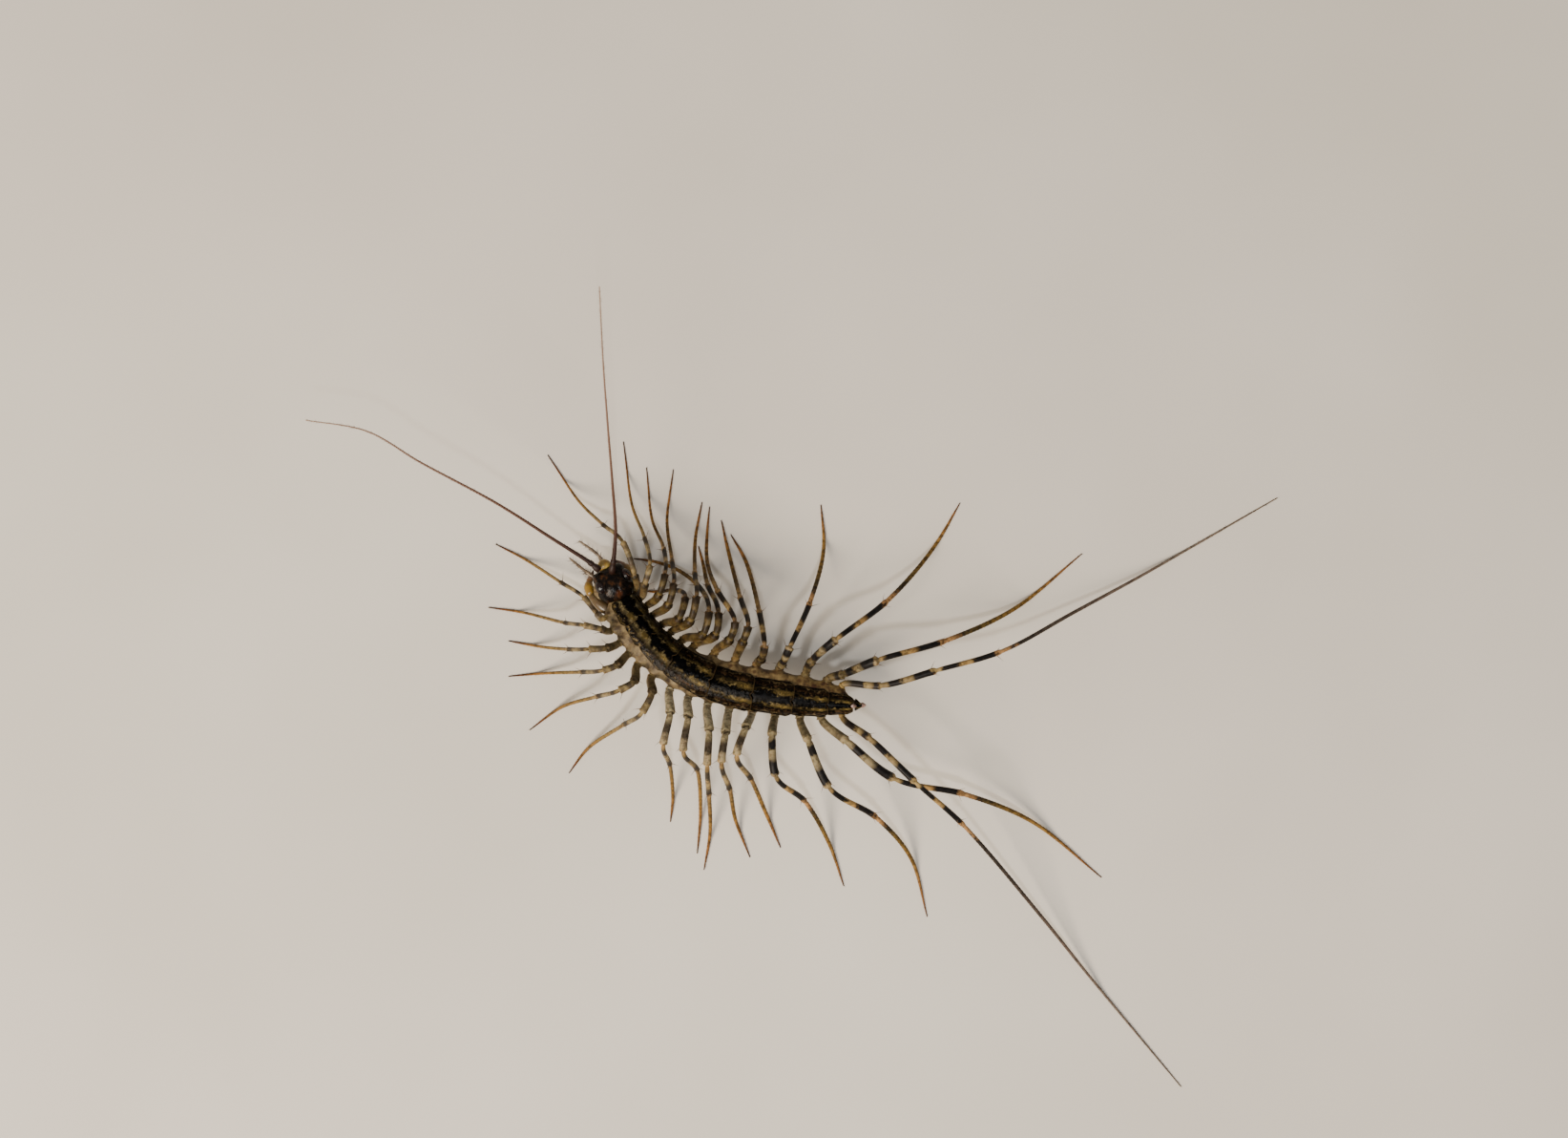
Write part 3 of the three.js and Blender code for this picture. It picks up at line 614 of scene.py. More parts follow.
# Hard polished cuticle: near black with rust-brown and olive mottles and a rust spot on the crown
HEAD_PATCH = MM / 1.8
HEAD_GRAIN = MM / 7
head_cuticle, add = new_material("polished_dark_cuticle")
where = add("TexCoord", {}).outputs["Object"]
patch = add("TexNoise", {"Vector": where, "Scale": 1 / HEAD_PATCH, "Detail": 5, "Roughness": 0.65})
shell = add("ValToRGB", {"Fac": patch}, [
    (0.3, "#060404"), (0.5, "#0b0705"), (0.57, "#20140b"), (0.65, "#38210f"), (0.76, "#523418")])
crown_spot = on_body(HEAD_MIDDLE, *CROWN_SPOT)
crown = add("VectorMath", {0: where, 1: crown_spot}, operation="DISTANCE").outputs["Value"]
rust = add("MapRange", {
    "Value": crown, "From Min": CROWN_SPOT_REACH[0] * MM, "From Max": CROWN_SPOT_REACH[1] * MM,
    "To Min": 0.7, "To Max": 0.0})
shell_colour = add("MixRGB", {"Fac": rust, "Color1": shell, "Color2": paint("#4a2812")})
grain = add("TexNoise", {"Vector": where, "Scale": 1 / HEAD_GRAIN, "Detail": 4})
relief = add("Bump", {"Height": grain, "Strength": 0.6, "Distance": 0.04 * MM})
close_material(add, {
    "Base Color": shell_colour, "Roughness": 0.24, "IOR": 1.54, "Specular IOR Level": 0.1, "Normal": relief})

fit(egg_piece("head_capsule", head_cuticle, 48, head_shape), "head", "head")


def under_head(spot, size, taper):
    """The shape of a rounded piece low on the head, at a place (ahead, above) and narrower in front."""
    def shape(ahead, aside, above):
        return on_body(HEAD_MIDDLE, spot[0] + ahead * size[0], aside * size[1] * (1 - taper * ahead),
                       spot[1] + above * size[2])
    return shape


# Thin golden horn of the lip: smooth, and a little translucent
lip_horn = thin_cuticle("golden_lip_horn", ["#62491c", "#8c7030", "#a88d4c"])
fit(egg_piece("lip", lip_horn, 16, under_head(LIP_PLACE, LIP_SIZE, LIP_TAPER)), "mouthpart")
fit(egg_piece("jaw_shield", flank_skin, 20, under_head(JAW_PLACE, JAW_SIZE, JAW_TAPER)), "mouthpart")


# Eyes
# Two large bulging eyes, each a close pattern of several hundred small domed lenses, dark wine-brown to black
# and glossy. They sit sunk in their hollows.
SIDES = {"left": 1, "right": -1}
LENS_BEVEL_PERCENT = 34
LENS_RIM, LENS_DOME = 0.02, 0.012

# Clear hard lens cuticle over dark pigment: glossy, wine-brown to black
eye_lens = clouded_material(
    "dark_lens_cuticle", patch=0.5 * MM, detail=2, stops=[(0.35, "#070506"), (0.7, "#24140f")],
    finish={"Roughness": 0.2, "IOR": 1.56, "Specular IOR Level": 0.3})

for name, side in SIDES.items():
    bpy.ops.object.select_all(action="DESELECT")
    bpy.ops.mesh.primitive_ico_sphere_add(subdivisions=4, radius=1)
    eye = bpy.context.object
    eye.name = f"eye_{name}"
    bpy.ops.object.mode_set(mode="EDIT")
    bpy.ops.mesh.select_all(action="SELECT")
    bpy.ops.mesh.bevel(offset=LENS_BEVEL_PERCENT, offset_type="PERCENT", affect="VERTICES")
    bpy.ops.mesh.select_all(action="SELECT")
    bpy.ops.mesh.inset(thickness=LENS_RIM, use_individual=True)
    bpy.ops.transform.shrink_fatten(value=LENS_DOME)
    bpy.ops.object.mode_set(mode="OBJECT")
    for corner in eye.data.vertices:
        ahead, aside, above = corner.co
        corner.co = on_body(
            HEAD_MIDDLE, EYE_PLACE[0] + ahead * EYE_LENGTH / 2,
            side * EYE_PLACE[1] + aside * EYE_WIDTH / 2, EYE_PLACE[2] + above * EYE_HEIGHT / 2)
    turn_faces_out()
    eye.data.materials.append(eye_lens)
    fit(eye, "eye", f"eye_{name}")


# Feelers
# Two whip-like feelers of a stout two-part root and several hundred fine rings, drawn as 130 coarser ones
# that show. They sit in sockets at the front corners of the head and carry short hairs.
ANTENNAE = {
    "left": [(628, 597, 4.6), (617, 588.5, 5.0), (580, 565, 6.2), (520, 527, 7.8), (440, 484, 9),
             (385, 452, 9.6), (320, 440, 9.4)],
    "right": [(641, 600, 4.6), (643, 586, 5.4), (645, 556, 7.0), (642, 510, 9), (637, 448, 12),
              (632, 380, 15.4), (628, 300, 19)],
}
FEELER_ROOT = [(0, 0, 0), (0, 0.28, 0), (0.3, 0.3, 0), (0.55, 0.24, 0), (0.6, 0.19, 0), (0.75, 0.24, 0.005),
               (0.95, 0.24, 0.01), (1, 0.18, 0.015)]
FEELER_RADIUS, FEELER_TAPER, FEELER_TIP = (0.19, 0.045), 0.6, 0.6
FEELER_RINGS, FIRST_RING_MARK = 130, 0.02
FEELER_RING = ((0.1, 0.92), (0.45, 1.06), (0.85, 1.03))
FEELER_HAIR = ((0.5, 0.9), (0.16, 0.28), 0.012)
HAIR_DEPTH = 0.85
LIMB_SIDES, RIDGE_COUNT = 12, 5
dice = random.Random(30)


def limb_rings(points, stations):
    """The rings of a limb through its points: centre, way ahead, side, top, radius and mark of each."""
    rings = []
    last = len(points) - 1
    side = None
    for at, radius, mark in stations:
        centre = along_curve(points, at)
        ahead = along_curve(points, min(at + 0.01, last)) - along_curve(points, max(at - 0.01, 0))
        if centre.z < radius * MM:
            centre.z = radius * MM
            ahead.z = 0
        ahead.normalize()
        side = ahead.cross(Vector((0, 0, 1))) if side is None else side - ahead * side.dot(ahead)
        side.normalize()
        rings.append((centre, ahead, side.copy(), side.cross(ahead), radius * MM, mark))
    return rings


def limb_piece(name, material, rings, ridges=0.0):
    """A closed tube over the rings, ridged if asked; its UV map runs around it and along the marks."""
    last = len(rings) - 1

    def shape(across, share):
        centre, _, side, top, radius, _ = rings[round(share * last)]
        turn = math.tau * across
        radius *= (1 + ridges * math.cos(RIDGE_COUNT * turn)) if 0 < share < 1 else 0
        spot = centre + (side * math.sin(turn) + top * math.cos(turn)) * radius
        spot.z = max(spot.z, 0)
        return spot

    piece = rolled_grid(name, material, LIMB_SIDES, last, shape)
    for corner in piece.data.uv_layers.active.data:
        corner.uv.y = rings[round(corner.uv.y * last)][5]
    return piece


def grow_bristles(piece, rings, spots):
    """Joins stiff three-sided hairs onto a limb.

    A spot is the number of a ring, the turn around it, and the hair's lean, length and radius."""
    corners, faces = [], []
    for number, turn, lean, length, radius in spots:
        centre, ahead, side, top, thick, _ = rings[number]
        out = side * math.sin(turn) + top * math.cos(turn)
        along = ahead * math.cos(lean) + out * math.sin(lean)
        across = ahead.cross(out)
        root = centre + out * thick * HAIR_DEPTH
        third = out * math.cos(lean) - ahead * math.sin(lean)
        base = len(corners)
        for corner in range(3):
            angle = math.tau * corner / 3
            corners.append(root + (across * math.cos(angle) + third * math.sin(angle)) * radius * MM)
        corners.append(root + along * length * MM)
        faces += [(base, base + 1, base + 3), (base + 1, base + 2, base + 3), (base + 2, base, base + 3),
                  (base + 2, base + 1, base)]
    mesh = bpy.data.meshes.new("bristles")
    mesh.from_pydata([c if c.z > 0 else Vector((c.x, c.y, 0)) for c in corners], [], faces)
    mesh.uv_layers.new(name="UVMap")
    mesh.materials.append(bristle_horn)
    hairs = bpy.data.objects.new("bristles", mesh)
    bpy.context.collection.objects.link(hairs)
    select_only(hairs)
    turn_faces_out()
    piece.select_set(True)
    bpy.context.view_layer.objects.active = piece
    bpy.ops.object.join()


def hair(number, turn, kind):
    """The spot of one hair. Its kind is a range of leans, a range of lengths, and a radius."""
    lean, length, radius = kind
    return number, turn, dice.uniform(*lean), dice.uniform(*length), radius


def grow_hairs(piece, rings, kind, count, first, spared):
    """Scatters fine hairs on a limb, from its first haired ring to the rings spared at its tip."""
    grow_bristles(piece, rings, [
        hair(dice.randrange(first, len(rings) - spared), dice.uniform(0, math.tau), kind)
        for _ in range(count)])


# Solid horny hairs: dark red-brown, shiny
bristle_horn = clouded_material(
    "dark_bristle_horn", patch=1 * MM, detail=2, stops=[(0.3, "#33200f"), (0.7, "#6b4520")],
    finish={"Roughness": 0.35, "IOR": 1.55})

# Ringed cuticle of the feelers: dark red-brown at the root, fading to smoky buff at the tip, satin
feeler_cuticle, add = new_material("ringed_feeler_cuticle")
along = add("SeparateXYZ", {"Vector": add("UVMap", {}, uv_map="UVMap")}).outputs["Y"]
fade = add("ValToRGB", {"Fac": along}, [
    (0.0, "#24140e"), (0.12, "#382018"), (0.4, "#5a3c2c"), (0.75, "#84695a"), (1.0, "#a08a78")])
beat = add("Math", {0: along, 1: math.tau * FEELER_RINGS}, operation="MULTIPLY")
wave = add("Math", {0: beat}, operation="SINE")
groove = add("ValToRGB", {"Fac": wave}, [(0.0, "#ffffff"), (0.9, "#a89080")])
ringed = add("MixRGB", {"Fac": 0.8, "Color1": fade, "Color2": groove}, blend_type="MULTIPLY")
close_material(add, {"Base Color": ringed, "Roughness": 0.5, "IOR": 1.5, "Specular IOR Level": 0.2})

for name in SIDES:
    points = [place(*spot) for spot in ANTENNAE[name]]
    last = len(points) - 1
    stations = list(FEELER_ROOT)
    for ring in range(FEELER_RINGS):
        for step, swell in FEELER_RING:
            share = (ring + step) / FEELER_RINGS
            radius = FEELER_RADIUS[0] + (FEELER_RADIUS[1] - FEELER_RADIUS[0]) * share ** FEELER_TAPER
            stations.append((1 + (last - 1) * share, radius * swell,
                             FIRST_RING_MARK + (1 - FIRST_RING_MARK) * share))
    stations += [(last, FEELER_RADIUS[1] * FEELER_TIP, 1), (last, 0, 1)]
    rings = limb_rings(points, stations)
    feeler = limb_piece(f"feeler_{name}", feeler_cuticle, rings)
    grow_hairs(feeler, rings, FEELER_HAIR, count=320, first=8, spared=2)
    fit(feeler, "antenna", f"antenna_{name}")


# Palps
# The thin palps of the second jaws, hinged under the head, reach out in front of the mouth. Each has three
# grey-brown joints of thin cuticle and a coat of long fine hairs.
PALPS = {
    "left": [(625, 606, 3.6), (613, 598, 3.5), (596, 584, 2.7)],
    "right": [(637, 598, 2.7), (627, 582, 2.5), (606, 566, 2.1)],
}
PALP_PROFILE = [
    (0, 0.12), (0.12, 0.15), (0.8, 0.16), (0.93, 0.12), (1.0, 0.1), (1.1, 0.13), (1.45, 0.12), (1.52, 0.09),
    (1.62, 0.11), (1.9, 0.07), (1.97, 0.04)]
PALP_HAIR = ((0.6, 1.1), (0.3, 0.65), 0.012)
STATION_STEP = 0.04

# Thin grey-brown cuticle of the palps, satin
palp_cuticle = clouded_material(
    "grey_brown_palp_cuticle", patch=0.4 * MM, detail=3,
    stops=[(0.35, "#3c3024"), (0.5, "#5f5040"), (0.7, "#85725a")], finish={"Roughness": 0.45, "IOR": 1.5})


def profiled(profile):
    """Even stations along a profile of (at, radius), closed at both ends and marked by their share of it."""
    start, end = profile[0][0], profile[-1][0]
    count = round((end - start) / STATION_STEP)
    spots = [start + (end - start) * i / count for i in range(count + 1)]
    stations = [(at, listed(profile, at), (at - start) / (end - start)) for at in spots]
    return [(start, 0, 0)] + stations + [(end, 0, 1)]


for name in SIDES:
    rings = limb_rings([place(*spot) for spot in PALPS[name]], profiled(PALP_PROFILE))
    palp = limb_piece(f"palp_{name}", palp_cuticle, rings)
    grow_hairs(palp, rings, PALP_HAIR, count=160, first=3, spared=2)
    fit(palp, "mouthpart", f"palp_{name}")


# Poison claws
# The first pair of legs is turned into curved jaws that close under the head: a stout spotted tan arm, an
# amber elbow and a sharp dark claw, each a joint of hard cuticle.
FORCIPULES = {
    "left": [(648, 644, 3.5), (626, 631, 3.5), (617, 615, 3.0), (622, 597, 2.3)],
    "right": [(664, 636, 2.4), (667, 614, 2.1), (657, 596, 2.3), (643, 586, 2.4)],
}
CLAW_PROFILE = [
    (0, 0.42), (0.3, 0.5), (0.75, 0.48), (1.2, 0.38), (1.45, 0.33), (1.52, 0.28), (1.6, 0.37), (1.95, 0.42),
    (2.2, 0.33), (2.3, 0.26), (2.4, 0.27), (2.62, 0.2), (2.85, 0.1), (2.98, 0.03)]
CLAW_HAIR = ((0.7, 1.2), (0.15, 0.35), 0.013)
CLAW_DOT = MM / 3.2

# Hard amber cuticle of the claws: smooth and glossy, a little translucent, with brown dots on the arm
claw_cuticle, add = new_material("amber_claw_cuticle")
where = add("TexCoord", {}).outputs["Object"]
along = add("SeparateXYZ", {"Vector": add("UVMap", {}, uv_map="UVMap")}).outputs["Y"]
amber = add("ValToRGB", {"Fac": along}, [
    (0.0, "#524028"), (0.4, "#5a482c"), (0.48, "#4a3a1d"), (0.52, "#74571c"), (0.66, "#86661f"),
    (0.76, "#664818"), (0.84, "#6a4a38"), (0.95, "#452a1e"), (1.0, "#140c08")])
dots = add("TexVoronoi", {"Vector": where, "Scale": 1 / CLAW_DOT})
dotted = add("ValToRGB", {"Fac": dots}, [(0.16, 0.8), (0.34, 0.0)])
claw_colour = add("MixRGB", {"Fac": dotted, "Color1": amber, "Color2": paint("#4c3520")})
close_material(add, {
    "Base Color": claw_colour, "Roughness": 0.3, "IOR": 1.53, "Subsurface Weight": 0.1,
    "Subsurface Scale": 0.3 * MM})

for name in SIDES:
    rings = limb_rings([place(*spot) for spot in FORCIPULES[name]], profiled(CLAW_PROFILE))
    claw = limb_piece(f"poison_claw_{name}", claw_cuticle, rings)
    grow_hairs(claw, rings, CLAW_HAIR, count=40, first=6, spared=12)
    fit(claw, "mouthpart", f"forcipule_{name}")


# Legs
# Fifteen pairs of long legs, each longer than the last. A stout coxa grows out of the flank and carries the
# prefemur, femur and tibia, which flare to spined joints, and the tarsus is a whip of fine rings that lies
# along the floor at its end. The last pair trails behind like a second pair of feelers.

# Lists of (pair, value), and profiles of (share of the part, share of its radius)
THIGH_RADIUS = [(1, 0.29), (3, 0.34), (5, 0.37), (8, 0.38), (12, 0.38), (13, 0.4), (14, 0.43), (15, 0.3)]
PREFEMUR_SHARE = [(1, 1), (8, 1), (12, 0.95), (14, 0.84), (15, 0.95)]
FEMUR_SHARE = [(1, 0.82), (8, 0.82), (12, 0.86), (14, 0.82), (15, 0.9)]
TIBIA_RADIUS = [(1, 0.17), (6, 0.2), (12, 0.23), (14, 0.24), (15, 0.21)]
TARSUS_RADIUS = [(1, 0.13), (6, 0.16), (12, 0.19), (14, 0.2), (15, 0.16)]
TARSUS_TIP = 0.04
TARSUS_TAPER = 2.2
LEG_PARTS, TARSUS_PART = 5, 4
TARSUS_RING = ((0.1, 0.93), (0.45, 1.05), (0.85, 1.04))
COXA_RADIUS = [(1, 0.3), (6, 0.35), (10, 0.46), (13, 0.5), (14, 0.48), (15, 0.34)]
COXA_PROFILE = [(0, 1), (0.3, 1.06), (0.6, 1), (0.8, 0.84)]
TROCHANTER_PROFILE = [(0.9, 0.8), (0.94, 0.98), (0.985, 0.96)]
COXA_REACH = {
    "left": [(3, 0.7), (5, 0.95), (8, 0.85), (12, 0.6), (16, 0.45), (24, 0.45)],
    "right": [(3, 0.25), (5, 0.4), (9, 0.6), (13, 0.95), (19, 0.95), (22, 0.9), (24.5, 0.75)],
}
COXA_START_SHARE = 0.45
COXA_START_DROP, TROCHANTER_DROP = 0.35, 0.15
LEG_RISE = [(1, 6.2), (4, 6.7), (10, 6.6), (13, 6.2), (15, 6)]
KNEE_RISE = [(1, 6.3), (4, 7.0), (10, 7.0), (13, 6.2), (15, 5.6)]
ANKLE_RISE = [(1, 3.4), (8, 3.1), (13, 3.0), (15, 3.6)]
TOUCHDOWN_SHARE = 0.72
FOOT_BEND = 1.4
RING_LENGTH = 0.3
PODOMERE_PROFILE = [(0, 0.74), (0.04, 0.84), (0.12, 0.92), (0.3, 0.95), (0.6, 1), (0.84, 1.05), (0.92, 1.13),
                    (0.97, 1.04), (1, 0.8)]
PODOMERE_STEPS = 22
LEG_RIDGES = 0.04
LEG_SPINE, LEG_SPINE_PLACE, LEG_SPINE_STRAY = ((0.6, 1.1), (0.55, 0.85), 0.034), (0.9, 0.94), 0.2
SHORT_HAIR, SHORT_HAIR_START, SHORT_HAIR_CHANCE = ((0.5, 0.9), (0.16, 0.26), 0.016), 0.1, 0.5
TARSUS_HAIR, TARSUS_HAIR_CHANCE = ((0.5, 0.8), (0.14, 0.26), 0.012), 0.45
HAIR_TURN = 6.28

# Where each leg bends: pixels of the end of the prefemur, the knee and the ankle, then of the tarsus, and the
# heights of the first three where they aren't the usual ones
LEG_POSES = {
    "left": [
        ([(626, 643), (611, 625), (586, 609)], [(552, 587), (520, 570)], (2.2, 2.1, 1.6)),
        ([(630, 659), (612, 655), (590, 652)], [(550, 642), (513, 636)]),
        ([(635, 679), (617, 680), (594, 680)], [(564, 677), (534, 671)]),
        ([(646, 697), (632, 702), (608, 704)], [(575, 705), (534, 708)]),
        ([(664, 714), (649, 723), (624, 730)], [(588, 741), (556, 764)]),
        ([(683, 726), (673, 746), (652, 760)], [(616, 784), (597, 809)]),
        ([(702, 748), (695, 780), (702, 802)], [(705, 836), (703, 860)]),
        ([(721, 752), (716, 787), (731, 808)], [(734, 850), (731, 893)]),
        ([(743, 766), (741, 802), (743, 834)], [(744, 872), (738, 910)]),
        ([(760, 769), (756, 799), (765, 828)], [(771, 860), (786, 897)]),
        ([(781, 763), (772, 791), (788, 818)], [(804, 855), (818, 887)]),
        ([(809, 771), (813, 813), (844, 840)], [(869, 884), (884, 927)]),
        ([(847, 776), (869, 825), (919, 857)], [(955, 900), (971, 959)]),
        ([(888, 777), (938, 816), (1011, 832)], [(1082, 861), (1153, 918)], (5.0, 4.4, 3.0)),
        ([(912, 774), (960, 820), (1011, 866)], [(1092, 961), (1145, 1027), (1235, 1135)], (6.6, 7.6, 4.6)),
    ],
    "right": [
        ([(665, 602), (652, 567), (630, 548)], [(605, 523), (575, 477)], (4.9, 5.5, 3.6)),
        ([(676, 611), (681, 592), (675, 562)], [(662, 528), (654, 463)], (6.4, 6.8, 3.6)),
        ([(691, 622), (697, 601), (695, 573)], [(683, 543), (678, 490)]),
        ([(701, 632), (706, 611), (704, 586)], [(699, 545), (706, 492)]),
        ([(712, 647), (718, 626), (705, 618)], [(690, 620), (676, 619)], (6.4, 6.1, 2.0)),
        ([(724, 649), (730, 624), (728, 598)], [(729, 562), (736, 526)]),
        ([(737, 664), (743, 640), (728, 610)], [(706, 595), (684, 588), (664, 585)], (6.5, 6.7, 1.7)),
        ([(750, 664), (753, 642), (741, 611)], [(737, 592), (732, 572)], (6.4, 6.2, 1.6)),
        ([(765, 669), (770, 651), (751, 617)], [(741, 588), (741, 560), (744, 531)], (6.6, 7.2, 4.8)),
        ([(779, 671), (784, 656), (775, 624)], [(763, 577), (756, 545)]),
        ([(798, 690), (801, 676), (795, 638)], [(781, 587), (766, 560)], (6.0, 7.6, 4.4)),
        ([(820, 695), (828, 677), (849, 630)], [(863, 575), (860, 529)], (6.2, 7.8, 4.2)),
        ([(851, 692), (877, 669), (930, 629)], [(978, 574), (1005, 527)], (5.8, 7.8, 4.4)),
        ([(884, 706), (921, 691), (991, 671)], [(1067, 635), (1132, 580)], (5.4, 7.4, 4.6)),
        ([(924, 718), (982, 702), (1050, 682)], [(1126, 641), (1212, 594), (1335, 522)], (5.4, 6.2, 5.0)),
    ],
}


def leg_points(pair, name, joints, tarsus, heights=None):
    """The places that one leg's middle line passes, from inside the flank to the tip of the tarsus."""
    heights = heights or [listed(rise, pair) for rise in (LEG_RISE, KNEE_RISE, ANKLE_RISE)]
    bends = [place(*pixel, height) for pixel, height in zip(joints, heights)]
    ankle = bends[-1]
    flat = [Vector((ankle.x, ankle.y, 0))] + [place(*pixel, 0) for pixel in tarsus]
    stops = [0]
    for one, two in zip(flat, flat[1:]):
        stops.append(stops[-1] + (two - one).length)
    feet = []
    for pixel, stop in zip(tarsus, stops[1:]):
        clear = 1 - stop / stops[-1] / TOUCHDOWN_SHARE
        feet.append(place(*pixel, math.copysign(ankle.z / MM * abs(clear) ** FOOT_BEND, clear)))
    root = LEG_ROOTS[name][pair - 1]
    half_width = half_width_at(root)
    reach = half_width + listed(COXA_REACH[name], root)
    inside = on_body(root, 0, SIDES[name] * half_width * COXA_START_SHARE, -COXA_START_DROP)
    trochanter = on_body(root, 0, SIDES[name] * reach, -TROCHANTER_DROP)
    return [inside, trochanter, *bends, *feet], stops[-1]


def leg_stations(pair, points, tarsus_run):
    """The stations of a leg. Their marks run from 0 to 1, a fifth to each of its five parts."""
    thigh, coxa = listed(THIGH_RADIUS, pair), listed(COXA_RADIUS, pair)
    hip = [(at, coxa * share) for at, share in COXA_PROFILE]
    hip += [(at, thigh * share) for at, share in TROCHANTER_PROFILE]
    stations = [(0, 0, 0)] + [(at, radius, at / LEG_PARTS) for at, radius in hip]
    prefemur, femur = [thigh * listed(shares, pair) for shares in (PREFEMUR_SHARE, FEMUR_SHARE)]
    for part, radius in enumerate((prefemur, femur, listed(TIBIA_RADIUS, pair)), 1):
        for step in range(PODOMERE_STEPS):
            share = step / PODOMERE_STEPS
            at = part + share
            stations.append((at, radius * listed(PODOMERE_PROFILE, share), at / LEG_PARTS))
    last = len(points) - 1
    ring_count = round(tarsus_run / MM / RING_LENGTH)
    for ring in range(ring_count):
        for step, swell in TARSUS_RING:
            share = (ring + step) / ring_count
            slim = share ** TARSUS_TAPER
            radius = listed(TARSUS_RADIUS, pair) * (1 - slim) + TARSUS_TIP * slim
            at = TARSUS_PART + (last - TARSUS_PART) * share
            stations.append((at, radius * swell, (TARSUS_PART + share) / LEG_PARTS))
    stations += [(last, TARSUS_TIP * 0.5, 1), (last, 0, 1)]
    return stations


def leg_bristles(stations):
    """Three long spines at each joint, short hairs scattered between joints, and fine ones on the tarsus."""
    spots = []
    for number, (_, _, mark) in enumerate(stations[1:-2], 1):
        part, share = int(mark * LEG_PARTS), mark * LEG_PARTS % 1
        if 1 <= part < TARSUS_PART and LEG_SPINE_PLACE[0] < share < LEG_SPINE_PLACE[1]:
            for spine in range(3):
                turn = math.tau * (spine + dice.uniform(-LEG_SPINE_STRAY, LEG_SPINE_STRAY)) / 3 + part
                spots.append(hair(number, turn, LEG_SPINE))
        elif 1 <= part < TARSUS_PART and share > SHORT_HAIR_START and dice.random() < SHORT_HAIR_CHANCE:
            spots.append(hair(number, dice.uniform(0, HAIR_TURN), SHORT_HAIR))
        elif part == TARSUS_PART and dice.random() < TARSUS_HAIR_CHANCE:
            spots.append(hair(number, dice.uniform(0, HAIR_TURN), TARSUS_HAIR))
    return spots


# Thin leg cuticle, olive-tan and a little translucent, with brown-black bands: smoky on the front legs, plain
# straw thighs on the middle left ones, mottled olive on the right and sharply banded behind. Joints are
# tan, tarsi olive to orange-brown with dark tips. Satin, with a fine grain.
BAND_WANDER = 0.022
LEG_MOTTLE = MM / 2.6
LEG_GRAIN = 0.1 * MM


def leg_cuticle(name, bands, mottles):
    """Leg cuticle with bands by the UV map's marks and darker mottles of a given strength."""
    material, add = new_material(name)
    where = add("TexCoord", {}).outputs["Object"]
    along = add("SeparateXYZ", {"Vector": add("UVMap", {}, uv_map="UVMap")}).outputs["Y"]
    wander = add("TexNoise", {"Vector": where, "Scale": 1 / LEG_MOTTLE, "Detail": 4})
    loose = add("Math", {0: wander, 1: 2 * BAND_WANDER, 2: -BAND_WANDER}, operation="MULTIPLY_ADD")
    mark = add("Math", {0: along, 1: loose}, operation="ADD")
    banded = add("ValToRGB", {"Fac": mark}, bands)
    cloud = add("TexNoise", {"Vector": where, "Scale": 1 / LEG_MOTTLE, "Detail": 4, "Roughness": 0.65})
    stain = add("ValToRGB", {"Fac": cloud}, [(0.42, "#4a4035"), (0.54, "#ffffff")])
    stained = add("MixRGB", {"Fac": mottles, "Color1": banded, "Color2": stain}, blend_type="MULTIPLY")
    grain = add("TexNoise", {"Vector": where, "Scale": 1 / LEG_GRAIN, "Detail": 3})
    relief = add("Bump", {"Height": grain, "Strength": 0.4, "Distance": 0.02 * MM})
    close_material(add, {
        "Base Color": stained, "Roughness": 0.42, "IOR": 1.5, "Specular IOR Level": 0.1,
        "Subsurface Weight": 0.1, "Subsurface Scale": 0.2 * MM, "Normal": relief})
    return material


front_leg_cuticle = leg_cuticle("smoky_leg_cuticle", [
    (0.0, "#75603a"), (0.2, "#7a6742"), (0.28, "#6e5d3f"), (0.36, "#57492f"), (0.392, "#33291b"),
    (0.405, "#6a5a3e"), (0.44, "#786746"), (0.47, "#4b4032"), (0.5, "#504534"), (0.53, "#7f6e4b"),
    (0.57, "#62533a"), (0.595, 0.615, "#86724a"), (0.635, 0.66, "#3c3226"), (0.685, 0.73, "#82704c"),
    (0.75, 0.775, "#3a3024"), (0.79, "#866f48"), (0.85, "#7a6237"), (0.93, "#7d5729"), (0.97, "#5a3216"),
    (1.0, "#2e190c")], 0.55)
straw_leg_cuticle = leg_cuticle("straw_leg_cuticle", [
    (0.0, "#93825e"), (0.2, "#a99a78"), (0.33, "#ab9d7c"), (0.391, "#978867"), (0.398, 0.402, "#2e2519"),
    (0.409, 0.44, "#948564"), (0.475, "#453b2e"), (0.515, "#40372b"), (0.54, "#827358"), (0.575, "#8e7d5b"),
    (0.6, "#987b50"), (0.615, "#8f7448"), (0.635, "#372e23"), (0.67, "#322a20"), (0.69, 0.73, "#8c764c"),
    (0.75, "#382f23"), (0.775, "#322a20"), (0.79, "#937447"), (0.815, "#6e5730"), (0.88, "#7d5d2c"),
    (0.95, "#80562a"), (1.0, "#40230f")], 0.6)
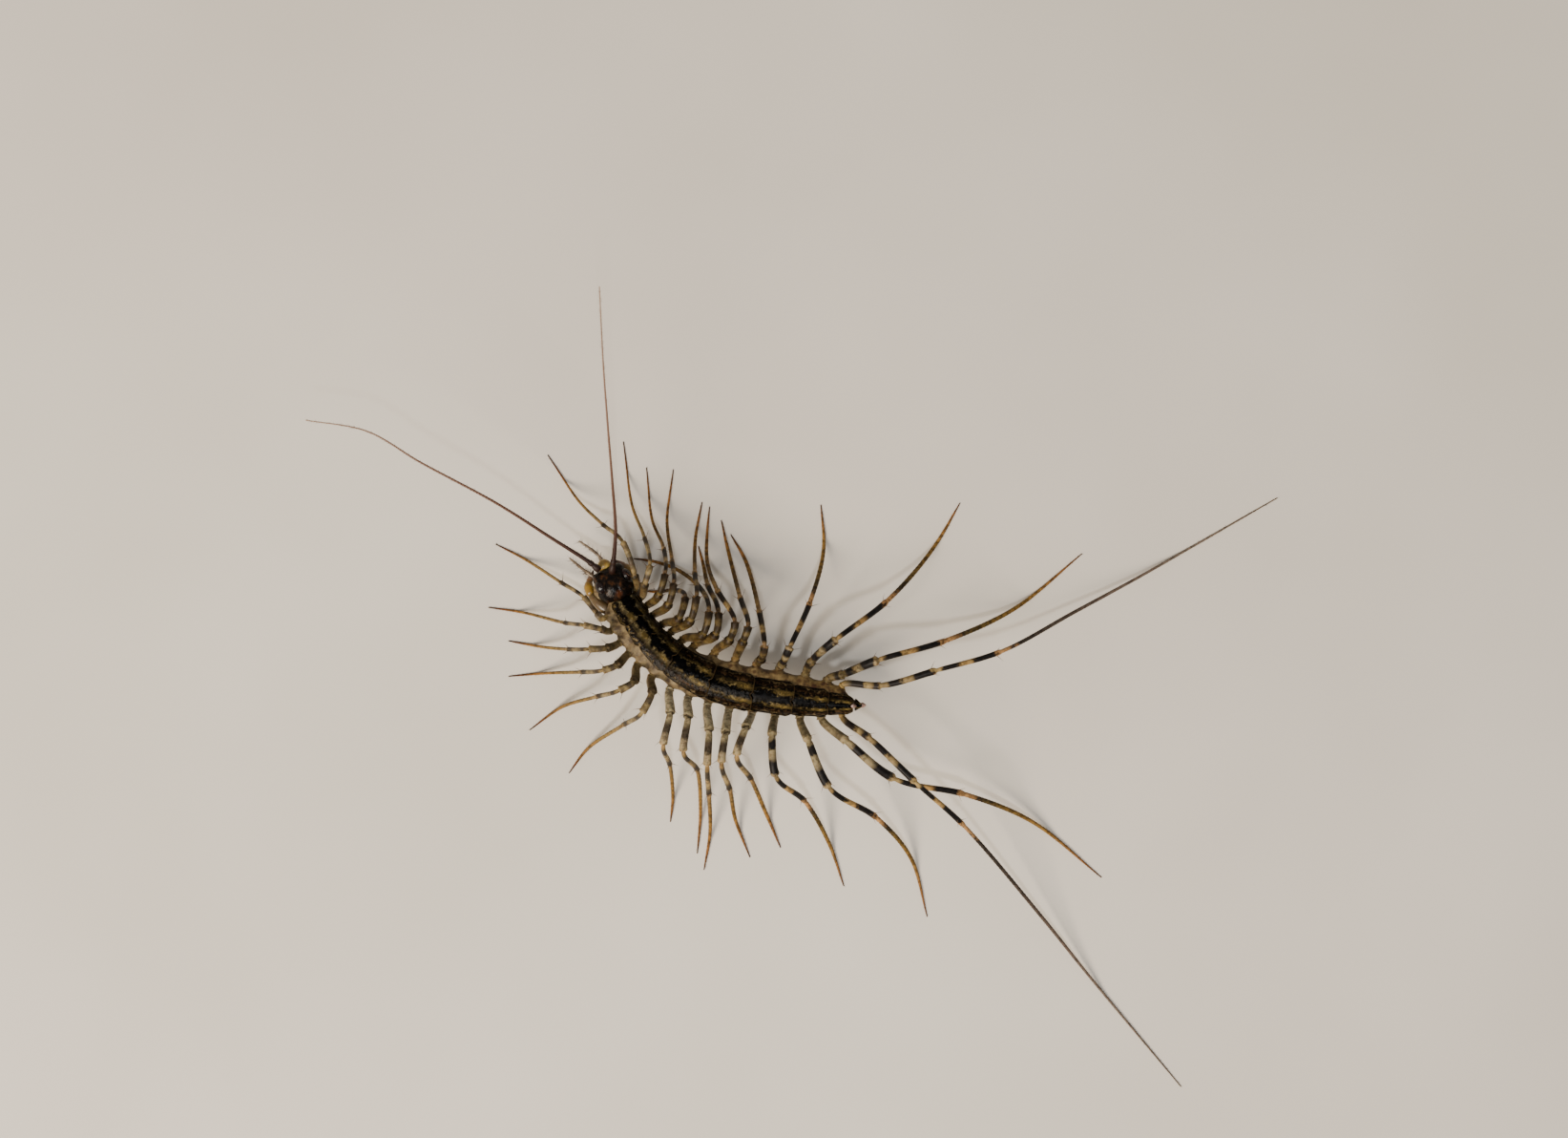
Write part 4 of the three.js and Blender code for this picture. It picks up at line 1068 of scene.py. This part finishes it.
mottled_leg_cuticle = leg_cuticle("mottled_leg_cuticle", [
    (0.0, "#755c30"), (0.2, "#665230"), (0.25, "#5a4828"), (0.29, "#3a2e1a"), (0.33, "#5f4e2c"),
    (0.375, "#46381f"), (0.395, "#291e12"), (0.41, "#66552f"), (0.43, "#3a2f1c"), (0.475, "#30261a"),
    (0.495, 0.52, "#54462b"), (0.545, "#30261a"), (0.58, "#2b2116"), (0.592, 0.612, "#786042"),
    (0.625, 0.665, "#1e1711"), (0.68, 0.705, "#806a43"), (0.722, 0.768, "#1d1610"), (0.785, "#8c7048"),
    (0.808, "#866a40"), (0.83, "#47361e"), (0.88, "#705227"), (0.94, "#80562a"), (0.98, "#5e3a1b"),
    (1.0, "#361e0e")], 0.65)


def hind_bands(root, thigh, thigh_band):
    """The bands of the hind legs, whose root and prefemur are paler on the left side than on the right."""
    return [
        (0.0, root), (0.2, 0.31, thigh), (0.335, 0.365, thigh_band), (0.38, 0.395, 0.42, thigh),
        (0.435, "#1d1917"), (0.465, "#1a1715"), (0.48, thigh), (0.51, "#7a6c50"), (0.527, 0.574, "#171413"),
        (0.588, "#867453"), (0.61, "#90774c"), (0.622, 0.663, "#191614"), (0.677, "#94784a"),
        (0.705, "#9c7a48"), (0.717, 0.775, "#181514"), (0.787, 0.808, "#a87e50"), (0.82, "#2d261b"),
        (0.85, "#5c4822"), (0.92, "#80602f"), (0.975, "#7a5028"), (1.0, "#40240f")]


banded_leg_cuticle = leg_cuticle("banded_leg_cuticle", hind_bands("#44371f", "#584b31", "#241e16"), 0.65)
pale_thigh_leg_cuticle = leg_cuticle(
    "pale_thigh_leg_cuticle", hind_bands("#827050", "#897958", "#6b5e45"), 0.5)
trailing_leg_cuticle = leg_cuticle("trailing_leg_cuticle", [
    (0.0, "#80622f"), (0.2, "#8a7345"), (0.24, "#6a5a3e"), (0.27, "#27211c"), (0.32, "#201b18"),
    (0.337, "#917d53"), (0.355, "#7e6b48"), (0.367, 0.383, "#28221f"), (0.396, 0.42, "#7e6b48"),
    (0.433, "#1b1716"), (0.473, "#1a1715"), (0.487, 0.512, "#7e6b48"), (0.527, 0.578, "#171413"),
    (0.59, 0.61, "#9c8456"), (0.622, 0.663, "#191614"), (0.677, 0.705, "#94784a"),
    (0.717, 0.775, "#181514"), (0.787, 0.803, "#a07a50"), (0.812, "#27221d"), (0.85, "#423830"),
    (0.9, "#5a4c42"), (0.96, "#6a5c50"), (1.0, "#5c4c3e")], 0.4)


def cuticle_of(name, pair):
    if pair == 15:
        return trailing_leg_cuticle
    if pair >= 12:
        return pale_thigh_leg_cuticle if name == "left" else banded_leg_cuticle
    if name == "right":
        return mottled_leg_cuticle if pair >= 3 else front_leg_cuticle
    return straw_leg_cuticle if pair >= 7 else front_leg_cuticle


for name in SIDES:
    for pair, pose in enumerate(LEG_POSES[name], 1):
        points, tarsus_run = leg_points(pair, name, *pose)
        stations = leg_stations(pair, points, tarsus_run)
        rings = limb_rings(points, stations)
        leg = limb_piece(f"leg_{name}_{pair:02}_skin", cuticle_of(name, pair), rings, LEG_RIDGES)
        grow_bristles(leg, rings, leg_bristles(stations))
        fit(leg, "leg", f"leg_{name}_{pair:02}")
